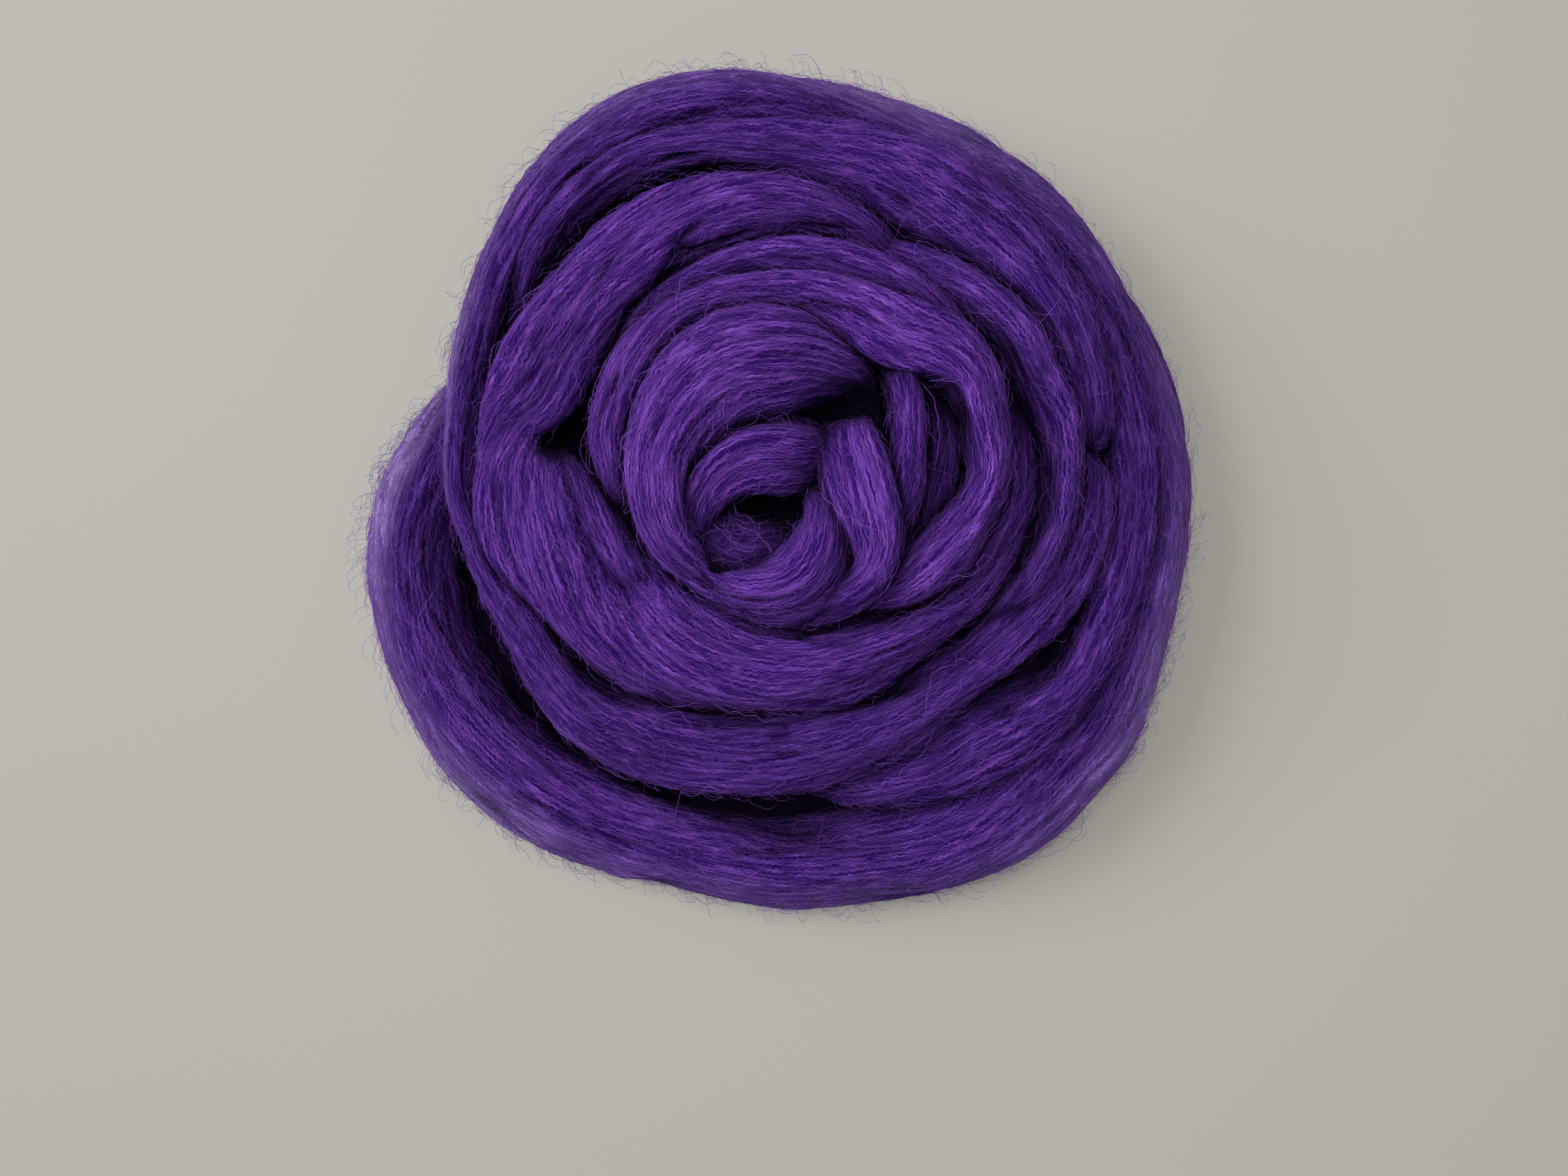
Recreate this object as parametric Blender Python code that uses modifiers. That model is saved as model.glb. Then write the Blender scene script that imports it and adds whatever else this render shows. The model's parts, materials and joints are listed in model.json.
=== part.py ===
"""Wool roving: one long combed length of wool wound into a nest that stands on a table.

The nest is one soft solid.  Every turn that shows is swept from a short table of sections,
the turns hidden below are plain spirals, and all of them are fused, smoothed and cut flat
where the wool rests.  Sizes are in millimetres and the finished solid is in metres.
The nest's middle is at the origin, +Z is up and the wool stands on the plane z = 0.
"""
import math
from typing import NamedTuple

import bmesh
import bpy
import numpy as np
from mathutils import Vector

MM = 0.001

# --- how finely the wool is modelled
SECTION_STEP = 4.0        # mm between sections along a turn
SECTION_SIDES = 18        # corners around a section
CAP_RINGS = 3             # shrinking sections that round off each end
FUSE_VOXEL = 2.4          # mm, grid that fuses the turns
SMOOTH_PASSES = 9         # passes that soften the fused skin
TARGET_TRIANGLES = 8200   # triangles left in the finished skin

# --- how the nest stands
REST_CUT = 0.0            # mm, height of the flat where the wool rests
CUTTER_SIDE = 400.0       # mm, side of the block that cuts the flat
CUTTER_DEPTH = 60.0       # mm, depth of that block

# --- the turns hidden under the nest
BASE_INNER_RADIUS = 14.0  # mm, where the lowest layer starts
BASE_OUTER_RADIUS = 84.0  # mm, where it comes out to the outer turn
BASE_HEIGHT = 11.5        # mm, middle of the lowest layer
BASE_PITCH = 22.0         # mm between its turns
BASE_WIDTH = 28.0         # mm
BASE_THICK = 27.0         # mm
BASE_END_ANGLE = 150.0    # degrees, where it meets the outer turn
MID_INNER_RADIUS = 10.0   # mm, second hidden layer, under the middle of the nest
MID_OUTER_RADIUS = 60.0   # mm
MID_HEIGHT = 29.0         # mm
MID_PITCH = 21.0          # mm
MID_WIDTH = 26.0          # mm
MID_THICK = 23.0          # mm
MID_END_ANGLE = 150.0     # degrees

# --- look of the plain solid
WOOL_COLOUR = (0.085, 0.018, 0.26, 1.0)
WOOL_ROUGHNESS = 0.95


class Section(NamedTuple):
    """One section of a turn, placed around the nest's middle."""
    angle: float    # degrees, counterclockwise from +X seen from above
    radius: float   # mm, from the nest's middle to the middle of the wool
    height: float   # mm, from the table to the middle of the wool
    width: float    # mm, across the wool seen from above
    thick: float    # mm, through the wool upright


# The outer turn starts at the left under its own end, goes once around on the table,
# climbs over its start and runs on as the second turn, to the pit at the right.
OUTER_TURN = (
    Section(154, 82, 13, 8, 12),
    Section(163, 88.5, 13, 15, 20),
    Section(173, 94.5, 13.5, 20, 25),
    Section(182, 100.5, 13.5, 23, 27),
    Section(192, 105.5, 13.5, 23.5, 27.5),
    Section(204, 108.5, 13.5, 25, 28),
    Section(218, 109.2, 13.5, 27.5, 28),
    Section(232, 107.5, 13.2, 28, 28),
    Section(245, 106, 13, 25.5, 28),
    Section(257, 104.4, 13, 23.3, 28),
    Section(270, 105.6, 13, 23.2, 28),
    Section(283, 106.6, 13, 23.5, 28),
    Section(293, 109.5, 13, 26.5, 28),
    Section(304, 110, 13, 29, 28),
    Section(316, 108.3, 13, 28.5, 28),
    Section(328, 106.7, 13, 28, 28),
    Section(354, 102, 13, 27, 28),
    Section(380, 99.6, 13, 27, 28),
    Section(400, 98.8, 14, 27, 28),
    Section(418, 97.6, 14.5, 27, 28),
    Section(432, 98.6, 15, 27, 28),
    Section(446, 102, 16, 26, 28),
    Section(458, 105, 17, 24, 28),
    Section(470, 105.8, 18.5, 20.5, 27),
    Section(480, 104.5, 21, 17, 26),
    Section(490, 101.4, 23.5, 14.5, 24),
    Section(502, 95.2, 26, 12.5, 22),
    Section(514, 89.5, 28.5, 11.5, 21),
    Section(525, 86.3, 30, 10.5, 21),
    Section(540, 84.3, 31, 9.5, 21),
    Section(552, 81.5, 31, 9.8, 21),
    Section(561, 79.5, 31, 11, 21.5),
    Section(570, 78, 30.5, 13.5, 22),
    Section(580, 78.8, 30, 15, 22),
    Section(590, 79, 30, 18, 22),
    Section(602, 77, 29.5, 22, 22),
    Section(612, 75.2, 29.5, 22.5, 22),
    Section(622, 73.4, 29.5, 22, 22),
    Section(632, 71.8, 29.5, 22.3, 22),
    Section(645, 70.1, 29.5, 21, 22),
    Section(657, 69.6, 30, 18.5, 22),
    Section(668, 69.5, 30.5, 15.5, 22),
    Section(676, 71, 30.5, 14, 22),
    Section(684, 73.5, 30.5, 15, 22),
    Section(693, 76.8, 30.5, 14.5, 22),
    Section(702, 80.2, 30, 12.5, 21.5),
    Section(711, 82.9, 29, 9.8, 20.5),
    Section(717, 83.8, 28.5, 8.8, 19),
    Section(721.5, 84.4, 25.5, 6.5, 14),
    Section(725, 84.2, 20, 4, 8),
)
# A hidden length low in the slit under the second turn at the lower left.
UNDER_TURN = (
    Section(116, 83, 8.5, 7, 9),
    Section(124, 84, 9, 13, 14),
    Section(136, 85, 9.5, 18, 17.5),
    Section(149, 85.5, 9.5, 20, 17.5),
    Section(162, 86, 8, 24, 13),
    Section(180, 88, 4.5, 30, 8),
    Section(204, 89, 4.5, 31, 8),
    Section(232, 89, 4.5, 31, 8),
    Section(262, 88, 4.5, 31, 8),
    Section(286, 88, 4.5, 31, 8),
    Section(306, 88, 4.5, 24, 8),
)
# Comes up out of the bottom slit and lies on the outer turn at the lower right.
LOWER_RIGHT_TURN = (
    Section(276, 84.5, 8, 4, 6),
    Section(281, 85.5, 15, 8, 12),
    Section(287, 86, 19.5, 13, 18),
    Section(297, 87.7, 22, 19, 21),
    Section(308, 88.6, 23, 24, 22),
    Section(317, 92, 23.5, 21, 22),
    Section(325, 94.8, 23.5, 17.5, 22),
    Section(333, 94.8, 23.2, 18, 22),
    Section(346, 95.5, 23, 16, 21.5),
    Section(360, 96.2, 22, 12.5, 20.5),
    Section(374, 96.3, 20.5, 12, 19),
    Section(390, 97.3, 19, 12, 17),
    Section(408, 97, 17.5, 9, 13),
    Section(424, 97.5, 16, 6, 9),
)
# Comes up from the pit at the right, spreads over the right, ends at the upper left.
RIGHT_TURN = (
    Section(365.5, 84.5, 14, 5, 8),
    Section(369, 85.2, 21, 8, 14),
    Section(374, 86.2, 26.5, 12, 19),
    Section(382, 87, 28.5, 15, 21),
    Section(392, 88, 30.5, 17.5, 22.5),
    Section(403, 87.2, 31.5, 22, 23.5),
    Section(414, 86.5, 32, 24.5, 24),
    Section(424, 87.3, 31.5, 24.5, 24),
    Section(434, 88.5, 30.5, 20.5, 23),
    Section(444, 88.6, 30, 16, 21.5),
    Section(453, 89.8, 28.5, 12.5, 19.5),
    Section(462, 92.6, 27.5, 11, 18.5),
    Section(474, 95.5, 27, 12.5, 19.5),
    Section(486, 94, 27, 12.5, 20),
    Section(497, 91, 26.5, 10.5, 19),
    Section(505, 87, 24.5, 8, 15.5),
    Section(511, 85.3, 21, 4.5, 9),
)
# Comes out under the right turn, crosses the top of the nest to the left pit, widens
# there to a fan, narrows along the bottom and turns up at the right.
TOP_TURN = (
    Section(55, 64.5, 26, 4, 8),
    Section(64, 67.5, 31, 7, 13),
    Section(74, 70, 34, 13, 18),
    Section(86, 71.3, 36, 17, 22),
    Section(98, 71.8, 37, 20.5, 23),
    Section(110, 70.6, 38, 22.5, 24),
    Section(122, 68.9, 38, 22.5, 24),
    Section(134, 68, 38, 22.5, 24),
    Section(148, 68, 38, 24, 23),
    Section(160, 69, 37.5, 23, 22),
    Section(168, 71.7, 36.5, 17.5, 20),
    Section(175, 70.8, 35.5, 20.5, 19),
    Section(183, 66.4, 36, 28, 20),
    Section(193, 60.8, 37.5, 32, 22),
    Section(205, 56.3, 38.5, 33, 23.5),
    Section(218, 53.5, 39, 31.5, 24),
    Section(232, 51.7, 39.5, 30.5, 24),
    Section(246, 50, 40, 28, 24),
    Section(260, 48.8, 40, 24, 24),
    Section(275, 48.3, 40, 21.5, 24),
    Section(290, 48.5, 39.5, 19.5, 23.5),
    Section(303, 49.3, 39, 17.5, 23),
    Section(315, 51.5, 38, 15, 22),
    Section(328, 56, 35, 13, 20),
    Section(342, 60.5, 31, 12.5, 18),
    Section(357, 64.5, 29, 11, 17),
    Section(372, 65, 28, 10, 16),
    Section(386, 64, 27, 8, 14),
    Section(398, 63, 24, 4, 8),
)
# The fan's inner strand, which lies against the core.
FAN_STRAND = (
    Section(172, 63.5, 23, 5, 8),
    Section(175, 61.5, 26.5, 9, 11.5),
    Section(178.5, 58.5, 30.5, 13, 14.5),
    Section(182, 55, 33.5, 15.5, 17),
    Section(187, 51.6, 35.9, 15.8, 19),
    Section(193.5, 48.6, 37.6, 15, 20),
    Section(203, 46.5, 38.6, 13.8, 20.2),
    Section(214, 45.3, 39.2, 12, 20.5),
    Section(226, 44.5, 39.5, 10.5, 20),
    Section(238, 44, 38.5, 8, 17),
    Section(250, 43.5, 36, 4.5, 10),
)
# A slack bight on the right, between the fan's end and the right turn.
RIGHT_BIGHT = (
    Section(322, 66, 24, 4, 6),
    Section(330, 68, 30, 7, 13),
    Section(340, 71, 34, 9, 18),
    Section(351, 73.3, 36, 9, 20),
    Section(362, 74.3, 37, 10, 21),
    Section(372, 74.3, 37, 12, 21),
    Section(382, 72.5, 37, 13, 21),
    Section(392, 72.5, 37, 13, 21),
    Section(402, 70.5, 37, 12, 20),
    Section(412, 68.5, 36, 10, 18),
    Section(422, 67.5, 33, 8, 15),
    Section(432, 67, 29, 4, 8),
)
# The raised rim around the core, widest at the top right, thin at the left.
CORE_RIM = (
    Section(304, 37.5, 36, 4, 6),
    Section(310, 39, 42, 7, 12),
    Section(319, 41.3, 45.5, 11.5, 18),
    Section(331, 43.5, 47.5, 15.5, 21),
    Section(342, 46.5, 48, 14.5, 22),
    Section(352, 50, 48.5, 11, 22),
    Section(362, 52.6, 48.5, 10.5, 22),
    Section(376, 53, 48.5, 12, 22),
    Section(388, 54, 48.5, 13.5, 22.5),
    Section(398, 51.3, 48, 17.5, 23),
    Section(410, 46.5, 47.5, 19, 23),
    Section(425, 46.3, 46.5, 16, 22),
    Section(440, 47, 46, 13, 20.5),
    Section(455, 47.5, 45.5, 12, 20),
    Section(470, 48.7, 44.5, 12.5, 19),
    Section(485, 48.8, 44, 12.5, 19),
    Section(500, 47.5, 43, 12.5, 18.5),
    Section(513, 46, 42, 11.5, 17.5),
    Section(524, 45.2, 41, 10.5, 16),
    Section(534, 43.3, 40, 8.5, 14),
    Section(542, 41.8, 38, 6.5, 11.5),
    Section(549, 40.5, 35, 4.5, 8),
)
# The rim's outer shoulder at the top.
RIM_SHOULDER = (
    Section(384, 58, 36, 4, 7),
    Section(396, 58, 41, 9, 14),
    Section(410, 57, 43.5, 12, 18),
    Section(425, 56.7, 43.5, 12.5, 18.5),
    Section(440, 56.7, 43, 12, 18),
    Section(455, 56.3, 42.5, 11, 17.5),
    Section(468, 56, 41, 11, 15.5),
    Section(480, 55.5, 39.5, 10.5, 14),
    Section(491, 54.5, 37.3, 9.5, 12.5),
    Section(501, 53, 34.5, 7.5, 10),
    Section(510, 51.5, 31, 4, 6),
)
# Two thin bights tucked inside the rim.
OUTER_INNER_BIGHT = (
    Section(38, 48.4, 33, 5, 8),
    Section(31, 46.6, 37.5, 8, 13),
    Section(21, 44.5, 40, 9, 16),
    Section(11, 42.6, 41, 9.5, 17),
    Section(0, 41, 41, 9.5, 17),
    Section(-11.5, 40.1, 41, 9, 17),
    Section(-22, 39.5, 40, 8, 15.5),
    Section(-33, 39.4, 38, 6.5, 12),
    Section(-43, 39.6, 34, 4, 7),
)
INNER_INNER_BIGHT = (
    Section(50, 41.9, 34, 5, 8),
    Section(42, 40.4, 42, 8, 15),
    Section(32, 37.6, 47.5, 9, 20),
    Section(20, 34.5, 49, 9.5, 21),
    Section(7, 32.2, 49.5, 9.5, 21.5),
    Section(-7, 31.3, 49, 9, 21),
    Section(-20.6, 31.3, 48, 7.5, 19),
    Section(-32, 31.9, 45, 4.5, 12),
)
# The core: a big curl around the left whose end turns in and dives at the middle.
CORE_CURL = (
    Section(47, 34, 32, 5, 8),
    Section(55, 33, 37.5, 9, 13),
    Section(65, 31, 43.5, 15, 18),
    Section(78, 29.5, 48, 21, 23),
    Section(92, 28.5, 50.8, 25, 26.5),
    Section(110, 29, 52, 25.5, 28),
    Section(130, 29.5, 52, 24.5, 28),
    Section(150, 30, 51.5, 21.5, 27),
    Section(170, 31, 51, 17.5, 26),
    Section(190, 31.7, 49.5, 15.5, 25),
    Section(208, 32.2, 46.8, 14, 23),
    Section(225, 31.4, 42.5, 13.5, 20),
    Section(240, 30.8, 41.7, 14.5, 20),
    Section(253, 29.8, 43.5, 16, 21.5),
    Section(266, 28.6, 47.2, 18, 23.5),
    Section(278, 27, 49.5, 20, 25),
    Section(290, 24, 50, 20.5, 25),
    Section(302, 19.8, 49.5, 17, 23.5),
    Section(317, 15.2, 47, 11, 19),
    Section(332, 10.5, 41, 6, 12),
    Section(345, 8, 34, 4, 7),
)
# The fold beside it, on the right.
CORE_FOLD = (
    Section(37, 21.5, 31, 8, 10),
    Section(25, 20.8, 39.5, 15, 17),
    Section(9, 20, 47.5, 19, 22.5),
    Section(-10.5, 21.9, 51, 20.5, 26),
    Section(-27, 26.6, 51, 17, 25.5),
    Section(-39, 31.1, 50, 13.5, 24),
    Section(-52, 33.5, 48.5, 11.5, 22.5),
    Section(-66.5, 33.8, 46.5, 10, 20),
    Section(-80.6, 33.8, 44, 8, 16),
    Section(-95, 34.1, 40, 5, 9),
)
# The tongue inside the curl.
CORE_TONGUE = (
    Section(24, 12.1, 38, 9, 11),
    Section(41, 9.4, 45, 15, 17),
    Section(80, 6.1, 48.5, 18.5, 22),
    Section(137, 8.1, 50, 18.5, 24),
    Section(166, 12.4, 50, 16, 24),
    Section(185, 17.1, 49, 13.5, 22.5),
    Section(199, 21.2, 47, 10.5, 19.5),
    Section(209.5, 24.4, 44.5, 8, 15.5),
    Section(217, 26.4, 41.5, 5.5, 11),
    Section(224, 27.2, 38, 3.5, 6),
)
# The wool at the bottom of the hole in the core.
CORE_FLOOR = (
    Section(190, 22.5, 36, 8, 10),
    Section(207, 23, 39.5, 15, 18),
    Section(226, 23, 42, 21, 20),
    Section(243, 22, 41.5, 21, 20),
    Section(257, 19.3, 39, 17, 19),
    Section(270, 16.3, 34.5, 13, 14),
    Section(284, 13.3, 28, 8, 10),
)
# Fills the middle of the nest below the core.
HEART = (
    Section(0, 26, 16, 24, 22),
    Section(0, 10, 18, 28, 26),
    Section(180, 10, 18, 28, 26),
    Section(180, 26, 16, 24, 22),
)

TURNS = (OUTER_TURN, UNDER_TURN, LOWER_RIGHT_TURN, RIGHT_TURN, TOP_TURN, FAN_STRAND, RIGHT_BIGHT,
         CORE_RIM, RIM_SHOULDER, OUTER_INNER_BIGHT, INNER_INNER_BIGHT, CORE_CURL, CORE_FOLD,
         CORE_TONGUE, CORE_FLOOR, HEART)


def hidden_spiral(inner, outer, pitch, end_angle, height, width, thick):
    """Sections of a flat spiral that winds counterclockwise from the inside out, then narrows."""
    turns = (outer - inner) / pitch
    count = max(4, round(turns * 14))
    sections = []
    for i in range(count + 1):
        part = i / count
        radius = inner + (outer - inner) * part
        angle = end_angle - 360.0 * turns * (1.0 - part)
        sections.append(Section(angle, radius, height, width, thick))
    sections.append(Section(end_angle + 11.0, outer - 3.0, height, 0.4 * width, 0.5 * thick))
    return tuple(sections)


def curve_rows(sections):
    """Rows of x, y, z, width and thick at the sections, in millimetres."""
    rows = []
    for s in sections:
        a = math.radians(s.angle)
        rows.append((s.radius * math.cos(a), s.radius * math.sin(a), s.height, s.width, s.thick))
    return np.array(rows, dtype=float)


def smooth_rows(rows, step):
    """Catmull-Rom rows through the given ones, about one step apart."""
    padded = np.vstack([2 * rows[0] - rows[1], rows, 2 * rows[-1] - rows[-2]])
    out = []
    for i in range(1, len(padded) - 2):
        p0, p1, p2, p3 = padded[i - 1:i + 3]
        count = max(2, round(float(np.linalg.norm(p2[:3] - p1[:3])) / step))
        for t in np.arange(count) / count:
            out.append(0.5 * (2 * p1 + (p2 - p0) * t + (2 * p0 - 5 * p1 + 4 * p2 - p3) * t ** 2
                              + (3 * p1 - p0 - 3 * p2 + p3) * t ** 3))
    out.append(rows[-1])
    return np.array(out)


def section_ring(centre, tangent, width, thick):
    """Corner points of one upright oval section."""
    side = Vector((0, 0, 1)).cross(tangent).normalized()
    up = tangent.cross(side).normalized()
    ring = []
    for k in range(SECTION_SIDES):
        a = 2 * math.pi * k / SECTION_SIDES
        ring.append(centre + side * (math.cos(a) * width / 2) + up * (math.sin(a) * thick / 2))
    return ring


def swept_turn(bm, sections):
    """Adds one closed, round-ended sweep through the sections to the mesh."""
    rows = smooth_rows(curve_rows(sections), SECTION_STEP)
    middles = [Vector(r[:3]) for r in rows]
    tangents = [(middles[min(i + 1, len(rows) - 1)] - middles[max(i - 1, 0)]).normalized()
                for i in range(len(rows))]
    rings = []
    for end, way in ((0, -1), (len(rows) - 1, 1)):
        caps = []
        for c in range(1, CAP_RINGS + 1):
            a = 0.5 * math.pi * c / (CAP_RINGS + 0.4)
            reach = math.sin(a) * rows[end][3] / 2
            caps.append(section_ring(middles[end] + tangents[end] * reach * way, tangents[end],
                                     rows[end][3] * math.cos(a), rows[end][4] * math.cos(a)))
        if way < 0:
            rings = caps[::-1] + [section_ring(m, t, r[3], r[4])
                                  for m, t, r in zip(middles, tangents, rows)]
        else:
            rings += caps
    verts = [[bm.verts.new(p * MM) for p in ring] for ring in rings]
    n = SECTION_SIDES
    for low, high in zip(verts, verts[1:]):
        for k in range(n):
            bm.faces.new((low[k], low[(k + 1) % n], high[(k + 1) % n], high[k]))
    bm.faces.new(verts[0][::-1])
    bm.faces.new(verts[-1])


def applied_copy(obj, name):
    """A plain mesh of the object with its modifiers worked out."""
    graph = bpy.context.evaluated_depsgraph_get()
    mesh = bpy.data.meshes.new_from_object(obj.evaluated_get(graph))
    mesh.name = name
    return mesh


def keep_outer_skin(mesh):
    """Leaves only the largest shell, so that no hollow stays sealed inside the wool."""
    bm = bmesh.new()
    bm.from_mesh(mesh)
    bm.verts.ensure_lookup_table()
    shells, seen = [], set()
    for start in bm.verts:
        if start.index in seen:
            continue
        shell, todo = [], [start]
        seen.add(start.index)
        while todo:
            vert = todo.pop()
            shell.append(vert)
            for edge in vert.link_edges:
                other = edge.other_vert(vert)
                if other.index not in seen:
                    seen.add(other.index)
                    todo.append(other)
        shells.append(shell)
    largest = max(shells, key=len)
    extra = [v for shell in shells if shell is not largest for v in shell]
    bmesh.ops.delete(bm, geom=extra, context="VERTS")
    bm.to_mesh(mesh)
    bm.free()
    return mesh


def new_object(name, mesh, collection):
    obj = bpy.data.objects.new(name, mesh)
    collection.objects.link(obj)
    return obj


def new_collection(name):
    collection = bpy.data.collections.new(name)
    bpy.context.scene.collection.children.link(collection)
    return collection


def wool_material():
    material = bpy.data.materials.new("dyed_wool")
    material.use_nodes = True
    shader = material.node_tree.nodes["Principled BSDF"]
    shader.inputs["Base Color"].default_value = WOOL_COLOUR
    shader.inputs["Roughness"].default_value = WOOL_ROUGHNESS
    shader.inputs["Metallic"].default_value = 0.0
    material.diffuse_color = WOOL_COLOUR
    return material


def rest_cutter(collection):
    """The block below the table that cuts the wool flat."""
    bm = bmesh.new()
    bmesh.ops.create_cube(bm, size=1.0)
    for v in bm.verts:
        v.co.x *= CUTTER_SIDE * MM
        v.co.y *= CUTTER_SIDE * MM
        v.co.z = (v.co.z - 0.5) * CUTTER_DEPTH * MM + REST_CUT * MM
    mesh = bpy.data.meshes.new("rest_cutter")
    bm.to_mesh(mesh)
    bm.free()
    cutter = new_object("rest_cutter", mesh, collection)
    cutter.display_type = "WIRE"
    cutter.hide_render = True
    return cutter


def set_render_like_view(modifier):
    modifier.show_render = modifier.show_viewport = True


def main():
    for obj in list(bpy.data.objects):
        bpy.data.objects.remove(obj, do_unlink=True)
    nest = new_collection("wool_roving")
    cutters = new_collection("cutters")

    base = hidden_spiral(BASE_INNER_RADIUS, BASE_OUTER_RADIUS, BASE_PITCH, BASE_END_ANGLE,
                         BASE_HEIGHT, BASE_WIDTH, BASE_THICK)
    middle = hidden_spiral(MID_INNER_RADIUS, MID_OUTER_RADIUS, MID_PITCH, MID_END_ANGLE,
                           MID_HEIGHT, MID_WIDTH, MID_THICK)
    bm = bmesh.new()
    for sections in (base, middle) + TURNS:
        swept_turn(bm, sections)
    bmesh.ops.recalc_face_normals(bm, faces=bm.faces)
    swept = bpy.data.meshes.new("swept_turns")
    bm.to_mesh(swept)
    bm.free()

    fused = new_object("fused_turns", swept, nest)
    fuse = fused.modifiers.new("fuse", "REMESH")
    fuse.mode = "VOXEL"
    fuse.voxel_size = FUSE_VOXEL * MM
    set_render_like_view(fuse)
    skin = keep_outer_skin(applied_copy(fused, "roving_nest"))
    bpy.data.objects.remove(fused, do_unlink=True)

    roving = new_object("roving_nest", skin, nest)
    roving.data.materials.clear()
    roving.data.materials.append(wool_material())
    soften = roving.modifiers.new("soften", "SMOOTH")
    soften.factor = 0.5
    soften.iterations = SMOOTH_PASSES
    set_render_like_view(soften)
    reduce = roving.modifiers.new("reduce", "DECIMATE")
    reduce.ratio = min(1.0, TARGET_TRIANGLES / (2.0 * len(skin.polygons)))
    reduce.use_collapse_triangulate = True
    set_render_like_view(reduce)
    rest = roving.modifiers.new("rest", "BOOLEAN")
    rest.operation = "DIFFERENCE"
    rest.solver = "EXACT"
    rest.object = rest_cutter(cutters)
    set_render_like_view(rest)


main()
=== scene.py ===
"""Looks of a nest of combed wool roving: wound turns, their fibres, fuzz and stray hairs.

Sizes in the tables are millimetres, everything that reaches a mesh is in metres.  The nest
stands on z = 0 with its middle on the Z axis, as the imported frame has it.
"""

import json
import math
from typing import NamedTuple

import bmesh
import bpy
import numpy as np
from bpy.props import FloatProperty, FloatVectorProperty, IntProperty, PointerProperty
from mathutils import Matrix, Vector
from mathutils.bvhtree import BVHTree

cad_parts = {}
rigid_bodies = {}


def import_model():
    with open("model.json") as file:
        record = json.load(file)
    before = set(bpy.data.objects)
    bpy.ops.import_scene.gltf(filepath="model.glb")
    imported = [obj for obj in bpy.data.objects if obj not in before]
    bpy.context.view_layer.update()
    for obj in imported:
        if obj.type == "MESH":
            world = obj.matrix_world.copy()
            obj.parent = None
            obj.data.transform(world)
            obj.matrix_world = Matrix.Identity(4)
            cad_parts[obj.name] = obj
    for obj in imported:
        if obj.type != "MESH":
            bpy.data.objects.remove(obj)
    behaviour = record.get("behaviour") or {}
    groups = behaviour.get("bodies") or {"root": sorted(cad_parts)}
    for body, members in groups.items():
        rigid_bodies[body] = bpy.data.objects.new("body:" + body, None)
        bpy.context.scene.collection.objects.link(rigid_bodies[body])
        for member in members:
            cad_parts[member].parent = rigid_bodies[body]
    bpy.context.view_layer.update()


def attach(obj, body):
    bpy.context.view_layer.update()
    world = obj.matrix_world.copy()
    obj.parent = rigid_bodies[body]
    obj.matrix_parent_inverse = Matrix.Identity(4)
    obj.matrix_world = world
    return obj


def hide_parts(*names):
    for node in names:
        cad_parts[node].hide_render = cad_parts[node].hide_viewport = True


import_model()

bl_info = {
    "name": "Wool Roving Nest",
    "version": (1, 0, 0),
    "blender": (4, 5, 0),
    "location": "View3D > Sidebar > Roving",
    "description": "Builds a wound nest of combed wool roving with its fibres and fuzz",
    "category": "Object",
}

MM = 0.001
NODE = "roving_nest"
FLOW = "flow"   # mesh attribute: the way the fibres run
LAY = "lay"     # mesh attribute: place along and around the wool, pulled straight
OPEN = "open"   # mesh attribute: how much of the room above a point is free; the materials paint shade from it
RIM = "rim"     # mesh attribute: how thick the fringe grows on the nest's outer flank, and how strongly its pale glow is painted
TONE = "tone"   # mesh attribute: three random numbers of a fibre


# Turns of the wool
class Section(NamedTuple):
    """One section of a turn, placed around the nest's middle."""
    angle: float        # degrees, counterclockwise from +X seen from above
    radius: float       # mm, from the nest's middle to the middle of the wool
    height: float       # mm, from the table to the middle of the wool
    width: float        # mm, across the wool seen from above
    thick: float        # mm, through the wool upright
    twist: float = 0.0  # degrees, the fibres have turned around the wool's own middle


class Turn(NamedTuple):
    """A length of the roving between the places where it dives out of sight."""
    name: str
    slivers: int         # grooves around the wool
    groove: float        # mm, how deep they are
    tone: float          # how far its colour goes to the redder, lighter purple
    sections: tuple      # rows with the columns of Section
    coarse: float = 1.0  # how much larger its faces are, where little of it shows


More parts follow.
